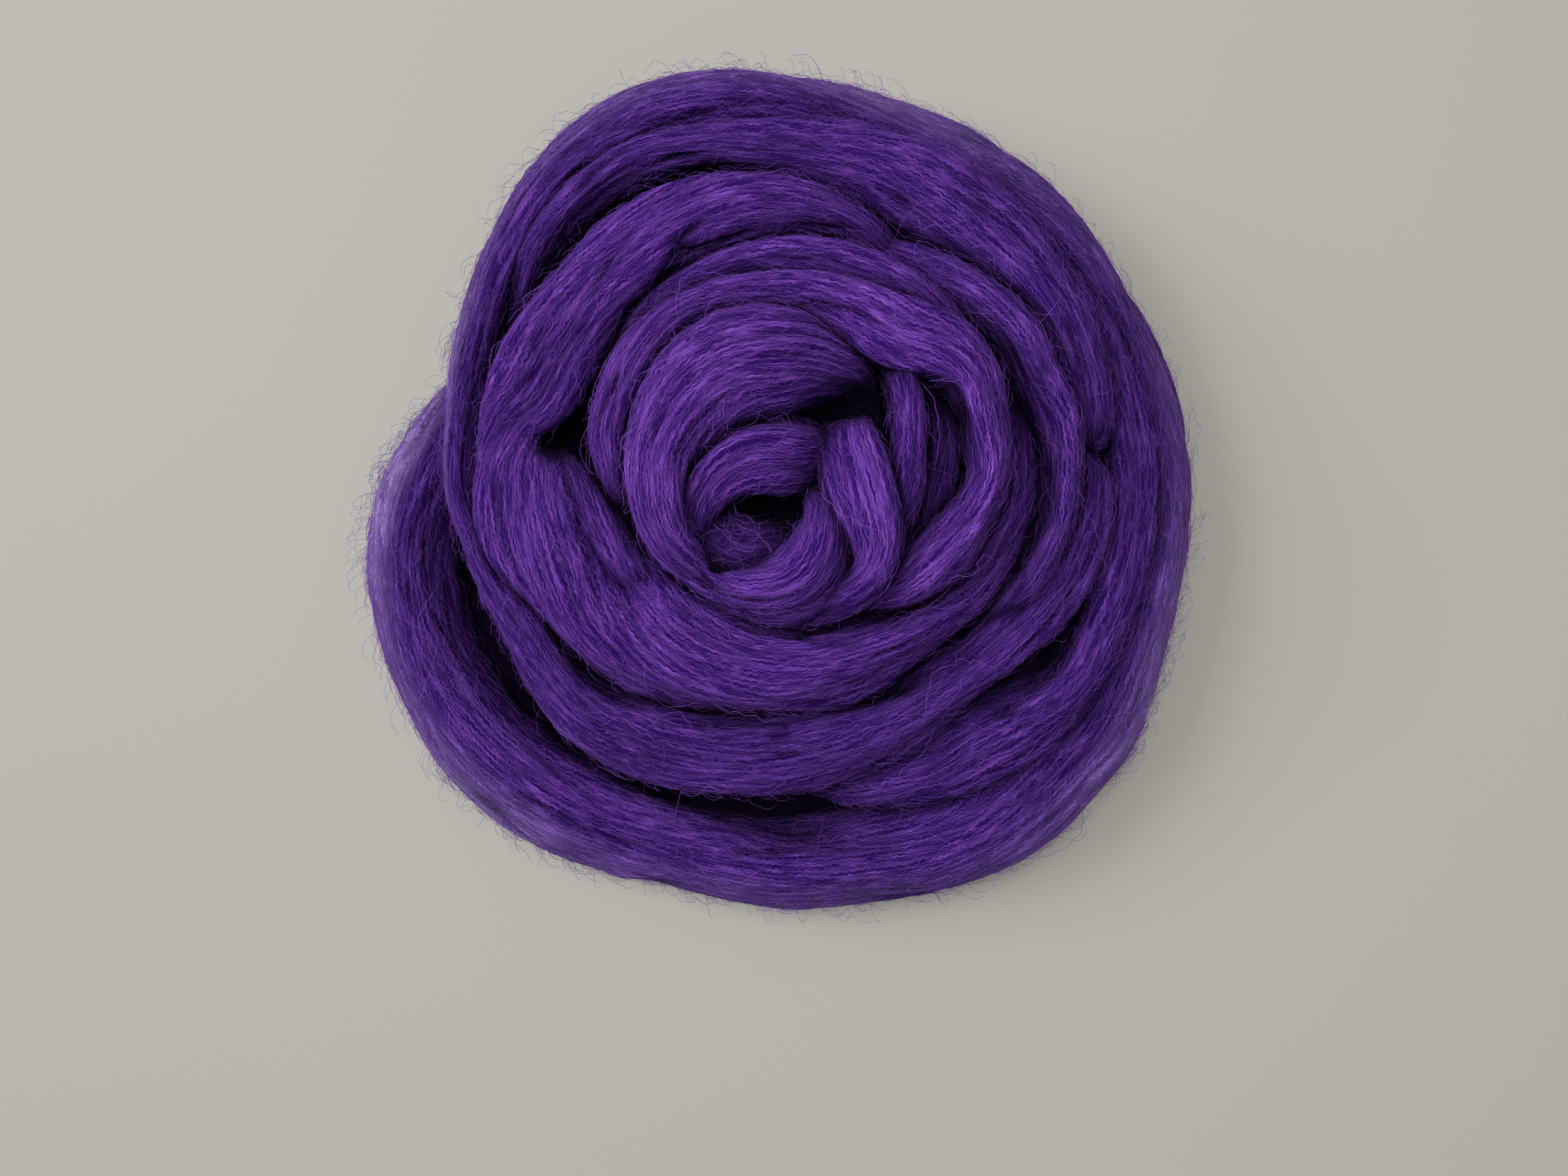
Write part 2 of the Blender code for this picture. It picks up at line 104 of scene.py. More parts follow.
TURNS = (
    # Starts at the left under its own end, goes once around on the table, climbs over its
    # start and runs on as the second turn, to the pit at the right.
    Turn("outer_turn", 13, 1.2, 0.1, (
        (154, 82, 13, 8, 12), (163, 88.5, 13, 15, 20), (173, 94.5, 13.5, 20, 25),
        (182, 100.5, 13.5, 23, 27), (192, 105.5, 13.5, 23.5, 27.5), (204, 108.5, 13.5, 25, 28),
        (218, 109.2, 13.5, 27.5, 28), (232, 107.5, 13.2, 28, 28), (245, 106, 13, 25.5, 28),
        (257, 104.4, 13, 23.3, 28), (270, 105.6, 13, 23.2, 28), (283, 106.6, 13, 23.5, 28),
        (293, 109.5, 13, 26.5, 28), (304, 110, 13, 29, 28), (316, 108.3, 13, 28.5, 28),
        (328, 106.7, 13, 28, 28), (354, 102, 13, 27, 28), (380, 99.6, 13, 27, 28),
        (400, 98.8, 14, 27, 28), (418, 97.6, 14.5, 27, 28), (432, 98.6, 15, 27, 28),
        (446, 102, 16, 26, 28), (458, 105, 17, 24, 28), (470, 105.8, 18.5, 20.5, 27),
        (480, 104.5, 21, 17, 26), (490, 101.4, 23.5, 14.5, 24), (502, 95.2, 26, 12.5, 22),
        (514, 89.5, 28.5, 11.5, 21), (525, 86.3, 30, 10.5, 21), (540, 84.3, 31, 9.5, 21),
        (552, 81.5, 31, 9.8, 21), (561, 79.5, 31, 11, 21.5), (570, 78, 30.5, 13.5, 22),
        (580, 78.8, 30, 15, 22), (590, 79, 30, 18, 22), (602, 77, 29.5, 22, 22),
        (612, 75.2, 29.5, 22.5, 22), (622, 73.4, 29.5, 22, 22), (632, 71.8, 29.5, 22.3, 22),
        (645, 70.1, 29.5, 21, 22), (657, 69.6, 30, 18.5, 22), (668, 69.5, 30.5, 15.5, 22),
        (676, 71, 30.5, 14, 22), (684, 73.5, 30.5, 15, 22), (693, 76.8, 30.5, 14.5, 22),
        (702, 80.2, 30, 12.5, 21.5), (711, 82.9, 29, 9.8, 20.5), (717, 83.8, 28.5, 8.8, 19),
        (721.5, 84.4, 25.5, 6.5, 14), (725, 84.2, 20, 4, 8))),
    Turn("under_turn", 9, 0.8, 0.0, (
        (116, 83, 8.5, 7, 9), (124, 84, 9, 13, 14), (136, 85, 9.5, 18, 17.5),
        (149, 85.5, 9.5, 20, 17.5), (162, 86, 8, 24, 13), (180, 88, 4.5, 30, 8),
        (204, 89, 4.5, 31, 8), (232, 89, 4.5, 31, 8), (262, 88, 4.5, 31, 8), (286, 88, 4.5, 31, 8),
        (306, 88, 4.5, 24, 8)), coarse=2.0),
    # Comes up out of the bottom slit and lies on the outer turn at the lower right.
    Turn("lower_right_turn", 11, 1.0, 0.1, (
        (276, 84.5, 8, 4, 6), (281, 85.5, 15, 8, 12), (287, 86, 19.5, 13, 18),
        (297, 87.7, 22, 19, 21), (308, 88.6, 23, 24, 22), (317, 92, 23.5, 21, 22),
        (325, 94.8, 23.5, 17.5, 22), (333, 94.8, 23.2, 18, 22), (346, 95.5, 23, 16, 21.5),
        (360, 96.2, 22, 12.5, 20.5), (374, 96.3, 20.5, 12, 19), (390, 97.3, 19, 12, 17),
        (408, 97, 17.5, 9, 13), (424, 97.5, 16, 6, 9))),
    # Comes up from the pit at the right, spreads over the right, ends at the upper left.
    Turn("right_turn", 11, 1.1, 0.15, (
        (365.5, 84.5, 14, 5, 8), (369, 85.2, 21, 8, 14), (374, 86.2, 26.5, 12, 19),
        (382, 87, 28.5, 15, 21), (392, 88, 30.5, 17.5, 22.5), (403, 87.2, 31.5, 22, 23.5),
        (414, 86.5, 32, 24.5, 24), (424, 87.3, 31.5, 24.5, 24), (434, 88.5, 30.5, 20.5, 23),
        (444, 88.6, 30, 16, 21.5), (453, 89.8, 28.5, 12.5, 19.5), (462, 92.6, 27.5, 11, 18.5),
        (474, 95.5, 27, 12.5, 19.5), (486, 94, 27, 12.5, 20), (497, 91, 26.5, 10.5, 19),
        (505, 87, 24.5, 8, 15.5), (511, 85.3, 21, 4.5, 9))),
    # Comes out under the right turn, crosses the top of the nest to the left pit, twists
    # there into a broad fan, narrows along the bottom and turns up at the right.
    Turn("top_turn", 12, 1.5, 0.45, (
        (55, 64.5, 26, 4, 8), (64, 67.5, 31, 7, 13), (74, 70, 34, 13, 18), (86, 71.3, 36, 17, 22),
        (98, 71.8, 37, 20.5, 23), (110, 70.6, 38, 22.5, 24), (122, 68.9, 38, 22.5, 24),
        (134, 68, 38, 22.5, 24), (148, 68, 38, 24, 23), (160, 69, 37.5, 23, 22),
        (168, 71.7, 36.5, 17.5, 20, 15), (175, 70.8, 35.5, 20.5, 19, 42),
        (183, 66.4, 36, 28, 20, 72), (193, 60.8, 37.5, 32, 22, 98),
        (205, 56.3, 38.5, 33, 23.5, 118), (218, 53.5, 39, 31.5, 24, 140),
        (232, 51.7, 39.5, 30.5, 24, 155), (246, 50, 40, 28, 24, 165), (260, 48.8, 40, 24, 24, 172),
        (275, 48.3, 40, 21.5, 24, 178), (290, 48.5, 39.5, 19.5, 23.5, 183),
        (303, 49.3, 39, 17.5, 23, 188), (315, 51.5, 38, 15, 22, 193), (328, 56, 35, 13, 20, 200),
        (342, 60.5, 31, 12.5, 18, 205), (357, 64.5, 29, 11, 17, 210), (372, 65, 28, 10, 16, 215),
        (386, 64, 27, 8, 14, 218), (398, 63, 24, 4, 8, 220))),
    # The fan's inner strand, which leaves the twist on its own and lies against the core.
    Turn("fan_strand", 8, 0.8, 0.5, (
        (172, 63.5, 23, 5, 8), (175, 61.5, 26.5, 9, 11.5, 10), (178.5, 58.5, 30.5, 13, 14.5, 25),
        (182, 55, 33.5, 15.5, 17, 40), (187, 51.6, 35.9, 15.8, 19, 55),
        (193.5, 48.6, 37.6, 15, 20, 70), (203, 46.5, 38.6, 13.8, 20.2, 80),
        (214, 45.3, 39.2, 12, 20.5, 90), (226, 44.5, 39.5, 10.5, 20, 95),
        (238, 44, 38.5, 8, 17, 100), (250, 43.5, 36, 4.5, 10, 105))),
    # A slack bight on the right, between the fan's end and the right turn.
    Turn("right_bight", 9, 0.9, 0.3, (
        (322, 66, 24, 4, 6), (330, 68, 30, 7, 13), (340, 71, 34, 9, 18), (351, 73.3, 36, 9, 20),
        (362, 74.3, 37, 10, 21), (372, 74.3, 37, 12, 21), (382, 72.5, 37, 13, 21),
        (392, 72.5, 37, 13, 21), (402, 70.5, 37, 12, 20), (412, 68.5, 36, 10, 18),
        (422, 67.5, 33, 8, 15), (432, 67, 29, 4, 8))),
    # The raised rim around the core, widest at the top right, thin at the left.
    Turn("core_rim", 10, 0.9, 0.7, (
        (304, 37.5, 36, 4, 6), (310, 39, 42, 7, 12), (319, 41.3, 45.5, 11.5, 18),
        (331, 43.5, 47.5, 15.5, 21), (342, 46.5, 48, 14.5, 22), (352, 50, 48.5, 11, 22),
        (362, 52.6, 48.5, 10.5, 22), (376, 53, 48.5, 12, 22), (388, 54, 48.5, 13.5, 22.5),
        (398, 51.3, 48, 17.5, 23), (410, 46.5, 47.5, 19, 23), (425, 46.3, 46.5, 16, 22),
        (440, 47, 46, 13, 20.5), (455, 47.5, 45.5, 12, 20), (470, 48.7, 44.5, 12.5, 19),
        (485, 48.8, 44, 12.5, 19), (500, 47.5, 43, 12.5, 18.5), (513, 46, 42, 11.5, 17.5),
        (524, 45.2, 41, 10.5, 16), (534, 43.3, 40, 8.5, 14), (542, 41.8, 38, 6.5, 11.5),
        (549, 40.5, 35, 4.5, 8))),
    Turn("rim_shoulder", 8, 0.7, 0.5, (
        (384, 58, 36, 4, 7), (396, 58, 41, 9, 14), (410, 57, 43.5, 12, 18),
        (425, 56.7, 43.5, 12.5, 18.5), (440, 56.7, 43, 12, 18), (455, 56.3, 42.5, 11, 17.5),
        (468, 56, 41, 11, 15.5), (480, 55.5, 39.5, 10.5, 14), (491, 54.5, 37.3, 9.5, 12.5),
        (501, 53, 34.5, 7.5, 10), (510, 51.5, 31, 4, 6))),
    # Two thin bights tucked inside the rim.
    Turn("outer_inner_bight", 8, 0.6, 0.6, (
        (38, 48.4, 33, 5, 8), (31, 46.6, 37.5, 8, 13), (21, 44.5, 40, 9, 16),
        (11, 42.6, 41, 9.5, 17), (0, 41, 41, 9.5, 17), (-11.5, 40.1, 41, 9, 17),
        (-22, 39.5, 40, 8, 15.5), (-33, 39.4, 38, 6.5, 12), (-43, 39.6, 34, 4, 7))),
    Turn("inner_inner_bight", 8, 0.6, 0.6, (
        (50, 41.9, 34, 5, 8), (42, 40.4, 42, 8, 15), (32, 37.6, 47.5, 9, 20),
        (20, 34.5, 49, 9.5, 21), (7, 32.2, 49.5, 9.5, 21.5), (-7, 31.3, 49, 9, 21),
        (-20.6, 31.3, 48, 7.5, 19), (-32, 31.9, 45, 4.5, 12))),
    # The core: a big curl around the left whose end turns in and dives at the middle.
    Turn("core_curl", 11, 0.7, 0.7, (
        (47, 34, 32, 5, 8), (55, 33, 37.5, 9, 13), (65, 31, 43.5, 15, 18), (78, 29.5, 48, 21, 23),
        (92, 28.5, 50.8, 25, 26.5), (110, 29, 52, 25.5, 28), (130, 29.5, 52, 24.5, 28),
        (150, 30, 51.5, 21.5, 27), (170, 31, 51, 17.5, 26), (190, 31.7, 49.5, 15.5, 25),
        (208, 32.2, 46.8, 14, 23), (225, 31.4, 42.5, 13.5, 20), (240, 30.8, 41.7, 14.5, 20),
        (253, 29.8, 43.5, 16, 21.5), (266, 28.6, 47.2, 18, 23.5), (278, 27, 49.5, 20, 25),
        (290, 24, 50, 20.5, 25), (302, 19.8, 49.5, 17, 23.5), (317, 15.2, 47, 11, 19),
        (332, 10.5, 41, 6, 12), (345, 8, 34, 4, 7))),
    Turn("core_fold", 9, 0.6, 0.65, (
        (37, 21.5, 31, 8, 10), (25, 20.8, 39.5, 15, 17), (9, 20, 47.5, 19, 22.5),
        (-10.5, 21.9, 51, 20.5, 26), (-27, 26.6, 51, 17, 25.5), (-39, 31.1, 50, 13.5, 24),
        (-52, 33.5, 48.5, 11.5, 22.5), (-66.5, 33.8, 46.5, 10, 20), (-80.6, 33.8, 44, 8, 16),
        (-95, 34.1, 40, 5, 9))),
    Turn("core_tongue", 9, 0.6, 0.75, (
        (24, 12.1, 38, 9, 11), (41, 9.4, 45, 15, 17), (80, 6.1, 48.5, 18.5, 22),
        (137, 8.1, 50, 18.5, 24), (166, 12.4, 50, 16, 24), (185, 17.1, 49, 13.5, 22.5),
        (199, 21.2, 47, 10.5, 19.5), (209.5, 24.4, 44.5, 8, 15.5), (217, 26.4, 41.5, 5.5, 11),
        (224, 27.2, 38, 3.5, 6))),
    Turn("core_floor", 9, 0.6, 0.5, (
        (190, 22.5, 36, 8, 10), (207, 23, 39.5, 15, 18), (226, 23, 42, 21, 20),
        (243, 22, 41.5, 21, 20), (257, 19.3, 39, 17, 19), (270, 16.3, 34.5, 13, 14),
        (284, 13.3, 28, 8, 10))),
)


def spiral(inner, outer, pitch, end_angle, height, width, thick):
    """Sections of a flat spiral that winds counterclockwise from the inside out, then narrows."""
    turns = (outer - inner) / pitch
    count = max(4, round(turns * 14))
    parts = np.linspace(0.0, 1.0, count + 1)
    tail = Section(end_angle + 11.0, outer - 3.0, height, 0.4 * width, 0.5 * thick)
    return tuple(Section(end_angle - 360.0 * turns * (1.0 - p), inner + (outer - inner) * p,
                         height, width, thick) for p in parts) + (tail,)


HIDDEN_TURNS = (
    Turn("base_spiral", 8, 0.6, 0.0, spiral(3.0, 84.0, 22.0, 150.0, 11.5, 28.0, 27.0),
         coarse=3.0),
    Turn("middle_spiral", 8, 0.6, 0.2, spiral(3.0, 60.0, 21.0, 150.0, 28.0, 26.0, 22.0),
         coarse=3.0),
    Turn("heart", 8, 0.6, 0.2, (
        (0, 26, 16, 24, 22), (0, 10, 18, 28, 26), (180, 10, 18, 28, 26),
        (180, 26, 16, 24, 22)), coarse=3.0),
)
ALL_TURNS = TURNS + HIDDEN_TURNS


# Settings
class RovingSizes(bpy.types.PropertyGroup):
    along: FloatProperty(
        name="Mesh Step Along", description="Length of a face along the wool",
        default=2.0 * MM, min=0.5 * MM, unit="LENGTH")
    around: FloatProperty(
        name="Mesh Step Around", description="Width of a face around the wool",
        default=0.95 * MM, min=0.3 * MM, unit="LENGTH")
    fibre_thickness: FloatProperty(
        name="Fibre Thickness", description="Thickness of a lock of fibres that reads as one",
        default=0.14 * MM, min=0.02 * MM, unit="LENGTH")
    fibre_length: FloatProperty(
        name="Fibre Length", description="Length of a fibre that shows on the surface",
        default=6.0 * MM, min=1.0 * MM, unit="LENGTH")
    crimp_length: FloatProperty(
        name="Crimp Length", description="Length of one wave of a fibre's crimp",
        default=2.6 * MM, min=0.5 * MM, unit="LENGTH")
    crimp_height: FloatProperty(
        name="Crimp Height", description="How far a crimped fibre swings to each side",
        default=0.2 * MM, min=0.0, unit="LENGTH")
    surface_density: FloatProperty(
        name="Surface Fibres", description="Fibres on each square centimetre of the surface",
        default=7.2, min=0.0)
    fuzz_density: FloatProperty(
        name="Fuzz Fibres", description="Fibres that stand off each square centimetre",
        default=8.0, min=0.0)
    halo_density: FloatProperty(
        name="Halo Fibres", description="Fibres on each square centimetre of the outer flank",
        default=21.0, min=0.0)
    hair_density: FloatProperty(
        name="Stray Hairs", description="Long loose hairs on each square centimetre",
        default=0.2, min=0.0)
    fuzz_thickness: FloatProperty(
        name="Fuzz Thickness", description="Thickness of a single fibre that stands off",
        default=0.08 * MM, min=0.02 * MM, unit="LENGTH")
    seed: IntProperty(name="Seed", description="Start of every random choice", default=7)


class RovingColours(bpy.types.PropertyGroup):
    deep: FloatVectorProperty(
        name="Deep Wool", description="Colour between the fibres", subtype="COLOR",
        default=(0.014, 0.0028, 0.060), min=0.0, max=1.0)
    # Painted shade: the near-black that the materials lay on the wool and its fibres where little
    # sky is seen, deep in the creases between turns
    crease: FloatVectorProperty(
        name="Crease", description="Colour deep in a crease between turns", subtype="COLOR",
        default=(0.003, 0.001, 0.008), min=0.0, max=1.0)
    cool: FloatVectorProperty(
        name="Outer Wool", description="Colour of the outer turns", subtype="COLOR",
        default=(0.0260, 0.0046, 0.132), min=0.0, max=1.0)
    warm: FloatVectorProperty(
        name="Core Wool", description="Redder colour of the turns at the core",
        subtype="COLOR", default=(0.0590, 0.0095, 0.221), min=0.0, max=1.0)
    light: FloatVectorProperty(
        name="Light Fibre", description="Colour of the lightest fibres", subtype="COLOR",
        default=(0.335, 0.118, 0.74), min=0.0, max=1.0)
    # Partly the pale of the thin loose fringe, partly painted glow: the outer flank is made
    # lighter as if the window light shone through the fringe, most on the left
    fringe_and_glow: FloatVectorProperty(
        name="Haze", description="Pale purple of the loose fringe along the outer edge",
        subtype="COLOR", default=(0.50, 0.35, 0.74), min=0.0, max=1.0)
    sheen: FloatVectorProperty(
        name="Sheen", description="Tint of the soft shine along the edges", subtype="COLOR",
        default=(0.55, 0.35, 0.95), min=0.0, max=1.0)


class StageSettings(bpy.types.PropertyGroup):
    floor: FloatVectorProperty(
        name="Floor", description="Colour of the pale table", subtype="COLOR",
        default=(0.60, 0.585, 0.535), min=0.0, max=1.0)
    camera_height: FloatProperty(
        name="Camera Height", description="Height of the camera above the table",
        default=0.347, min=0.1, unit="LENGTH")
    camera_angle: FloatProperty(
        name="Camera Angle", description="Angle of view across the picture",
        default=math.radians(67.3), min=0.1, max=3.0, subtype="ANGLE")


# Nodes written as expressions
class Wire:
    """A node's output that Python arithmetic turns into Math or Vector Math nodes."""

    def __init__(self, net, socket):
        self.net = net
        self.socket = socket

    def _is_vector(self, value):
        return isinstance(value, tuple) or (isinstance(value, Wire)
                                            and value.socket.type == "VECTOR")

    def _join(self, operation, a, b):
        if self._is_vector(a) and self._is_vector(b):
            return self.net.node("ShaderNodeVectorMath", {0: a, 1: b}, operation=operation)
        if self._is_vector(a) or self._is_vector(b):
            vector, number = (a, b) if self._is_vector(a) else (b, a)
            if operation != "MULTIPLY":
                raise ValueError(f"{operation} of a vector and a number")
            return self.net.node("ShaderNodeVectorMath", {0: vector, 3: number},
                                 operation="SCALE")
        return self.net.node("ShaderNodeMath", {0: a, 1: b}, operation=operation)

    def __add__(self, other):
        return self._join("ADD", self, other)

    def __radd__(self, other):
        return self._join("ADD", other, self)

    def __sub__(self, other):
        return self._join("SUBTRACT", self, other)

    def __rsub__(self, other):
        return self._join("SUBTRACT", other, self)

    def __mul__(self, other):
        return self._join("MULTIPLY", self, other)

    def __rmul__(self, other):
        return self._join("MULTIPLY", other, self)

    def __truediv__(self, other):
        return self._join("DIVIDE", self, other)

    def __rtruediv__(self, other):
        return self._join("DIVIDE", other, self)

    def __pow__(self, other):
        return self._join("POWER", self, other)

    def function(self, operation, *others):
        inputs = {i: v for i, v in enumerate((self,) + others)}
        return self.net.node("ShaderNodeMath", inputs, operation=operation)

    def vector(self, operation, other=None, output=0):
        inputs = {0: self} if other is None else {0: self, 1: other}
        return self.net.node("ShaderNodeVectorMath", inputs, output, operation=operation)

    def split(self):
        parts = self.net.node("ShaderNodeSeparateXYZ", {0: self}).socket.node.outputs
        return [Wire(self.net, socket) for socket in parts]


class Net:
    """A node tree that is filled one node at a time."""

    def __init__(self, tree):
        self.tree = tree

    def node(self, kind, inputs=None, output=0, **settings):
        """Adds a node with its settings, the values or links of its inputs, and one output."""
        new = self.tree.nodes.new(kind)
        for key, value in settings.items():
            setattr(new, key, value)
        for key, value in (inputs or {}).items():
            socket = self.socket_of(new.inputs, key)
            if isinstance(value, Wire):
                self.tree.links.new(value.socket, socket)
            else:
                socket.default_value = value
        return Wire(self, self.socket_of(new.outputs, output))

    @staticmethod
    def socket_of(sockets, key):
        if isinstance(key, int):
            return sockets[key]
        return next(s for s in sockets if s.name == key and s.enabled)

    def mix_colour(self, factor, a, b):
        """Goes from one colour to another, each a wire or a red, green and blue."""
        a, b = (c if isinstance(c, Wire) else (*c, 1.0) for c in (a, b))
        return self.node("ShaderNodeMix", {0: factor, 6: a, 7: b}, 2, data_type="RGBA")


# Meshes of the wool
PLUMPNESS = 2.35     # exponent of a section's outline: 2 is an ellipse, more is fuller
END_REACH = 5.0      # mm, over which an end of the wool rounds off
FULL_WIDTH = 16.0    # mm, narrower wool has shallower folds
PRESS = 1.6          # mm, the height below which the wool is pressed on the table
TURN_SHIFT = 0.37    # metres between two turns in a texture, so that no two look alike
RAY_GAP = 0.6 * MM   # how far from the skin a ray starts
SHADE_STEP = 2       # sections and sides from one ray's start to the next
GROOVE_SHADE = 0.5   # how much less open the bottom of a groove counts, to deepen the painted shade there


def curve_rows(sections):
    """Rows of x, y, z, width, thickness (mm) and twist (radians) at the sections."""
    rows = []
    for s in (Section(*row) for row in sections):
        a = math.radians(s.angle)
        rows.append((s.radius * math.cos(a), s.radius * math.sin(a), s.height,
                     s.width, s.thick, math.radians(s.twist)))
    return np.array(rows)


def smooth_rows(rows, step):
    """Catmull-Rom rows through the given ones, about one step apart."""
    padded = np.vstack([2 * rows[0] - rows[1], rows, 2 * rows[-1] - rows[-2]])
    out = []
    for i in range(1, len(padded) - 2):
        p0, p1, p2, p3 = padded[i - 1:i + 3]
        count = max(2, round(float(np.linalg.norm(p2[:3] - p1[:3])) / step))
        t = (np.arange(count) / count)[:, None]
        out.append(0.5 * (2 * p1 + (p2 - p0) * t + (2 * p0 - 5 * p1 + 4 * p2 - p3) * t ** 2
                          + (3 * p1 - p0 - 3 * p2 + p3) * t ** 3))
    out.append(rows[-1:])
    return np.vstack(out)


def unit(vectors):
    return vectors / np.maximum(np.linalg.norm(vectors, axis=-1, keepdims=True), 1e-9)


def signed_power(values, exponent):
    return np.sign(values) * np.abs(values) ** exponent


def waves(along, theta, rng, count, around, wavelength):
    """Smooth noise of about -1 to 1 that closes around the wool: a sum of slanting waves."""
    total = np.zeros(np.broadcast(along, theta).shape)
    for _ in range(count):
        m = rng.integers(around[0], around[1] + 1)
        length = rng.uniform(*wavelength) * rng.choice((-1, 1))
        total += np.sin(2 * np.pi * along / length + m * theta + rng.uniform(0, 2 * np.pi))
    return total * 1.3 / math.sqrt(count)


def grooves(along, theta, rng, count, wander, sharpness, wavelength=(80, 240)):
    """0 on the ridges and 1 at the bottom of about this many grooves around the wool."""
    drift = wander * waves(along, theta, rng, 6, (1, 4), wavelength)
    phase = round(count / 2) * theta + drift + along / 90.0
    return (1.0 - np.abs(np.sin(phase))) ** sharpness


def wool_relief(along, theta, turn, rng):
    """Height in mm of the wool's folds and grooves over its plain section, and how hollow."""
    folds = 1.05 * waves(along, theta, rng, 7, (1, 4), (55, 170))
    here = np.clip(0.4 + 0.6 * waves(along, theta, rng, 5, (1, 4), (30, 90)), 0.0, 1.2)
    there = np.clip(0.25 + 0.85 * waves(along, theta, rng, 5, (1, 3), (50, 140)), 0.0, 1.4)
    slivers = turn.groove * here * grooves(along, theta, rng, turn.slivers, 1.3, 2.0)
    splits = 3.0 * turn.groove * there * grooves(along, theta, rng, 6, 1.6, 9.0, (170, 420))
    fine = 0.34 * grooves(along, theta, rng, turn.slivers * 3, 2.2, 1.4)
    tiny = 0.08 * waves(along, theta, rng, 9, (22, 48), (10, 30))
    hollow = np.clip((slivers + splits + 0.5 * fine) / (1.6 * turn.groove), 0.0, 1.0)
    return folds - slivers - splits - fine + tiny, hollow


def end_taper(along, reach):
    """Goes from a fifth at both ends of the wool to 1 where it is whole, as a round end does."""
    gap = np.minimum(along, along[-1] - along)
    part = np.clip(gap / reach, 0.02, 1.0)
    return np.sqrt(1 - (1 - part) ** 2)


def soft_floor(height):
    """Presses the wool flat against the table instead of letting it sink in (mm)."""
    pressed = PRESS * np.exp(np.minimum(height, PRESS) / PRESS - 1.0)
    pressed = np.where(height > -8 * PRESS, pressed, 0.0)
    return np.where(height > PRESS, height, pressed)


class WoolSkin(NamedTuple):
    points: np.ndarray   # metres, one row of points for each section
    flow: np.ndarray     # unit vectors
    lay: np.ndarray      # metres along and around the wool, and a number for the turn
    outward: np.ndarray  # unit vectors
    hollow: np.ndarray   # 0 on the ridges to 1 at the bottom of the deepest grooves


def wool_skin(turn, step_along, step_around, seed):
    """Points and fibre directions of one turn of wool, section by section."""
    rng = np.random.default_rng(seed)
    rows = smooth_rows(curve_rows(turn.sections), step_along / MM)
    middle, width, thick, twist = rows[:, :3], rows[:, 3:4], rows[:, 4:5], rows[:, 5:6]
    tangent = unit(np.gradient(middle, axis=0))
    side = unit(np.cross((0, 0, 1), tangent))
    up = np.cross(tangent, side)
    lengths = np.linalg.norm(np.diff(middle, axis=0), axis=1)
    along = np.concatenate([[0], np.cumsum(lengths)])[:, None]
    girth = math.pi * float(width.max() + thick.max()) / 2
    sides = int(girth * MM / step_around)
    theta = np.linspace(0, 2 * np.pi, sides, endpoint=False)[None, :]
    taper = end_taper(along, END_REACH)
    relief, hollow = wool_relief(along, theta - twist, turn, rng)
    relief = relief * taper * np.minimum(1.0, width / FULL_WIDTH)
    swell = 2.0 / PLUMPNESS
    cos_t, sin_t = np.cos(theta), np.sin(theta)
    normal = unit(np.stack([signed_power(cos_t, 2.0 - swell) * thick,
                            signed_power(sin_t, 2.0 - swell) * width], axis=-1))
    plain_across = width / 2 * taper * signed_power(cos_t, swell)
    plain_upright = thick / 2 * taper * signed_power(sin_t, swell)
    across = plain_across + relief * normal[..., 0]
    upright = plain_upright + relief * normal[..., 1]
    points = middle[:, None] + side[:, None] * across[..., None] + up[:, None] * upright[..., None]
    points[..., 2] = soft_floor(points[..., 2])
    outward = unit(side[:, None] * normal[..., :1] + up[:, None] * normal[..., 1:])
    turning = np.gradient(twist, axis=0) / np.maximum(np.gradient(along, axis=0), 1e-6)
    around = np.cross(tangent[:, None], outward)
    reach = np.hypot(across, upright)[..., None]
    flow = unit(tangent[:, None] + around * turning[..., None] * reach)
    around_part = girth_part(plain_across, plain_upright) - twist / (2 * np.pi)
    lay = np.stack([np.broadcast_to(along, across.shape), around_part * girth,
                    np.zeros_like(across)], axis=-1)
    return WoolSkin(points * MM, flow, lay * MM + seed * TURN_SHIFT, outward, hollow)


def girth_part(across, upright):
    """Part of the way around each section, -0.5 to 0.5, 0 on top, with the jump underneath."""
    sides = across.shape[1]
    first = (3 * sides) // 4
    ring = np.roll(np.stack([across, upright], axis=-1), -first, axis=1)
    steps = np.linalg.norm(np.diff(ring, axis=1, append=ring[:, :1]), axis=-1)
    total = steps.sum(axis=1, keepdims=True)
    part = np.concatenate([np.zeros((len(ring), 1)), np.cumsum(steps, axis=1)[:, :-1]], axis=1)
    return np.roll(part / total - 0.5, first, axis=1)


def skin_faces(rows, sides):
    """Quads between neighbouring sections."""
    base = np.arange(rows - 1)[:, None] * sides
    k = np.arange(sides)[None, :]
    k2 = (k + 1) % sides
    quads = np.stack([base + k, base + k2, base + sides + k2, base + sides + k], axis=-1)
    return quads.reshape(-1, 4)


# Directions of the rays that look for the sky: degrees from upright, and degrees around
SKY = [(math.radians(tilt), math.radians(turn)) for tilt, turns in
       ((0, (0,)), (28, (0, 72, 144, 216, 288)), (58, (20, 65, 110, 155, 200, 245, 290, 335)))
       for turn in turns]


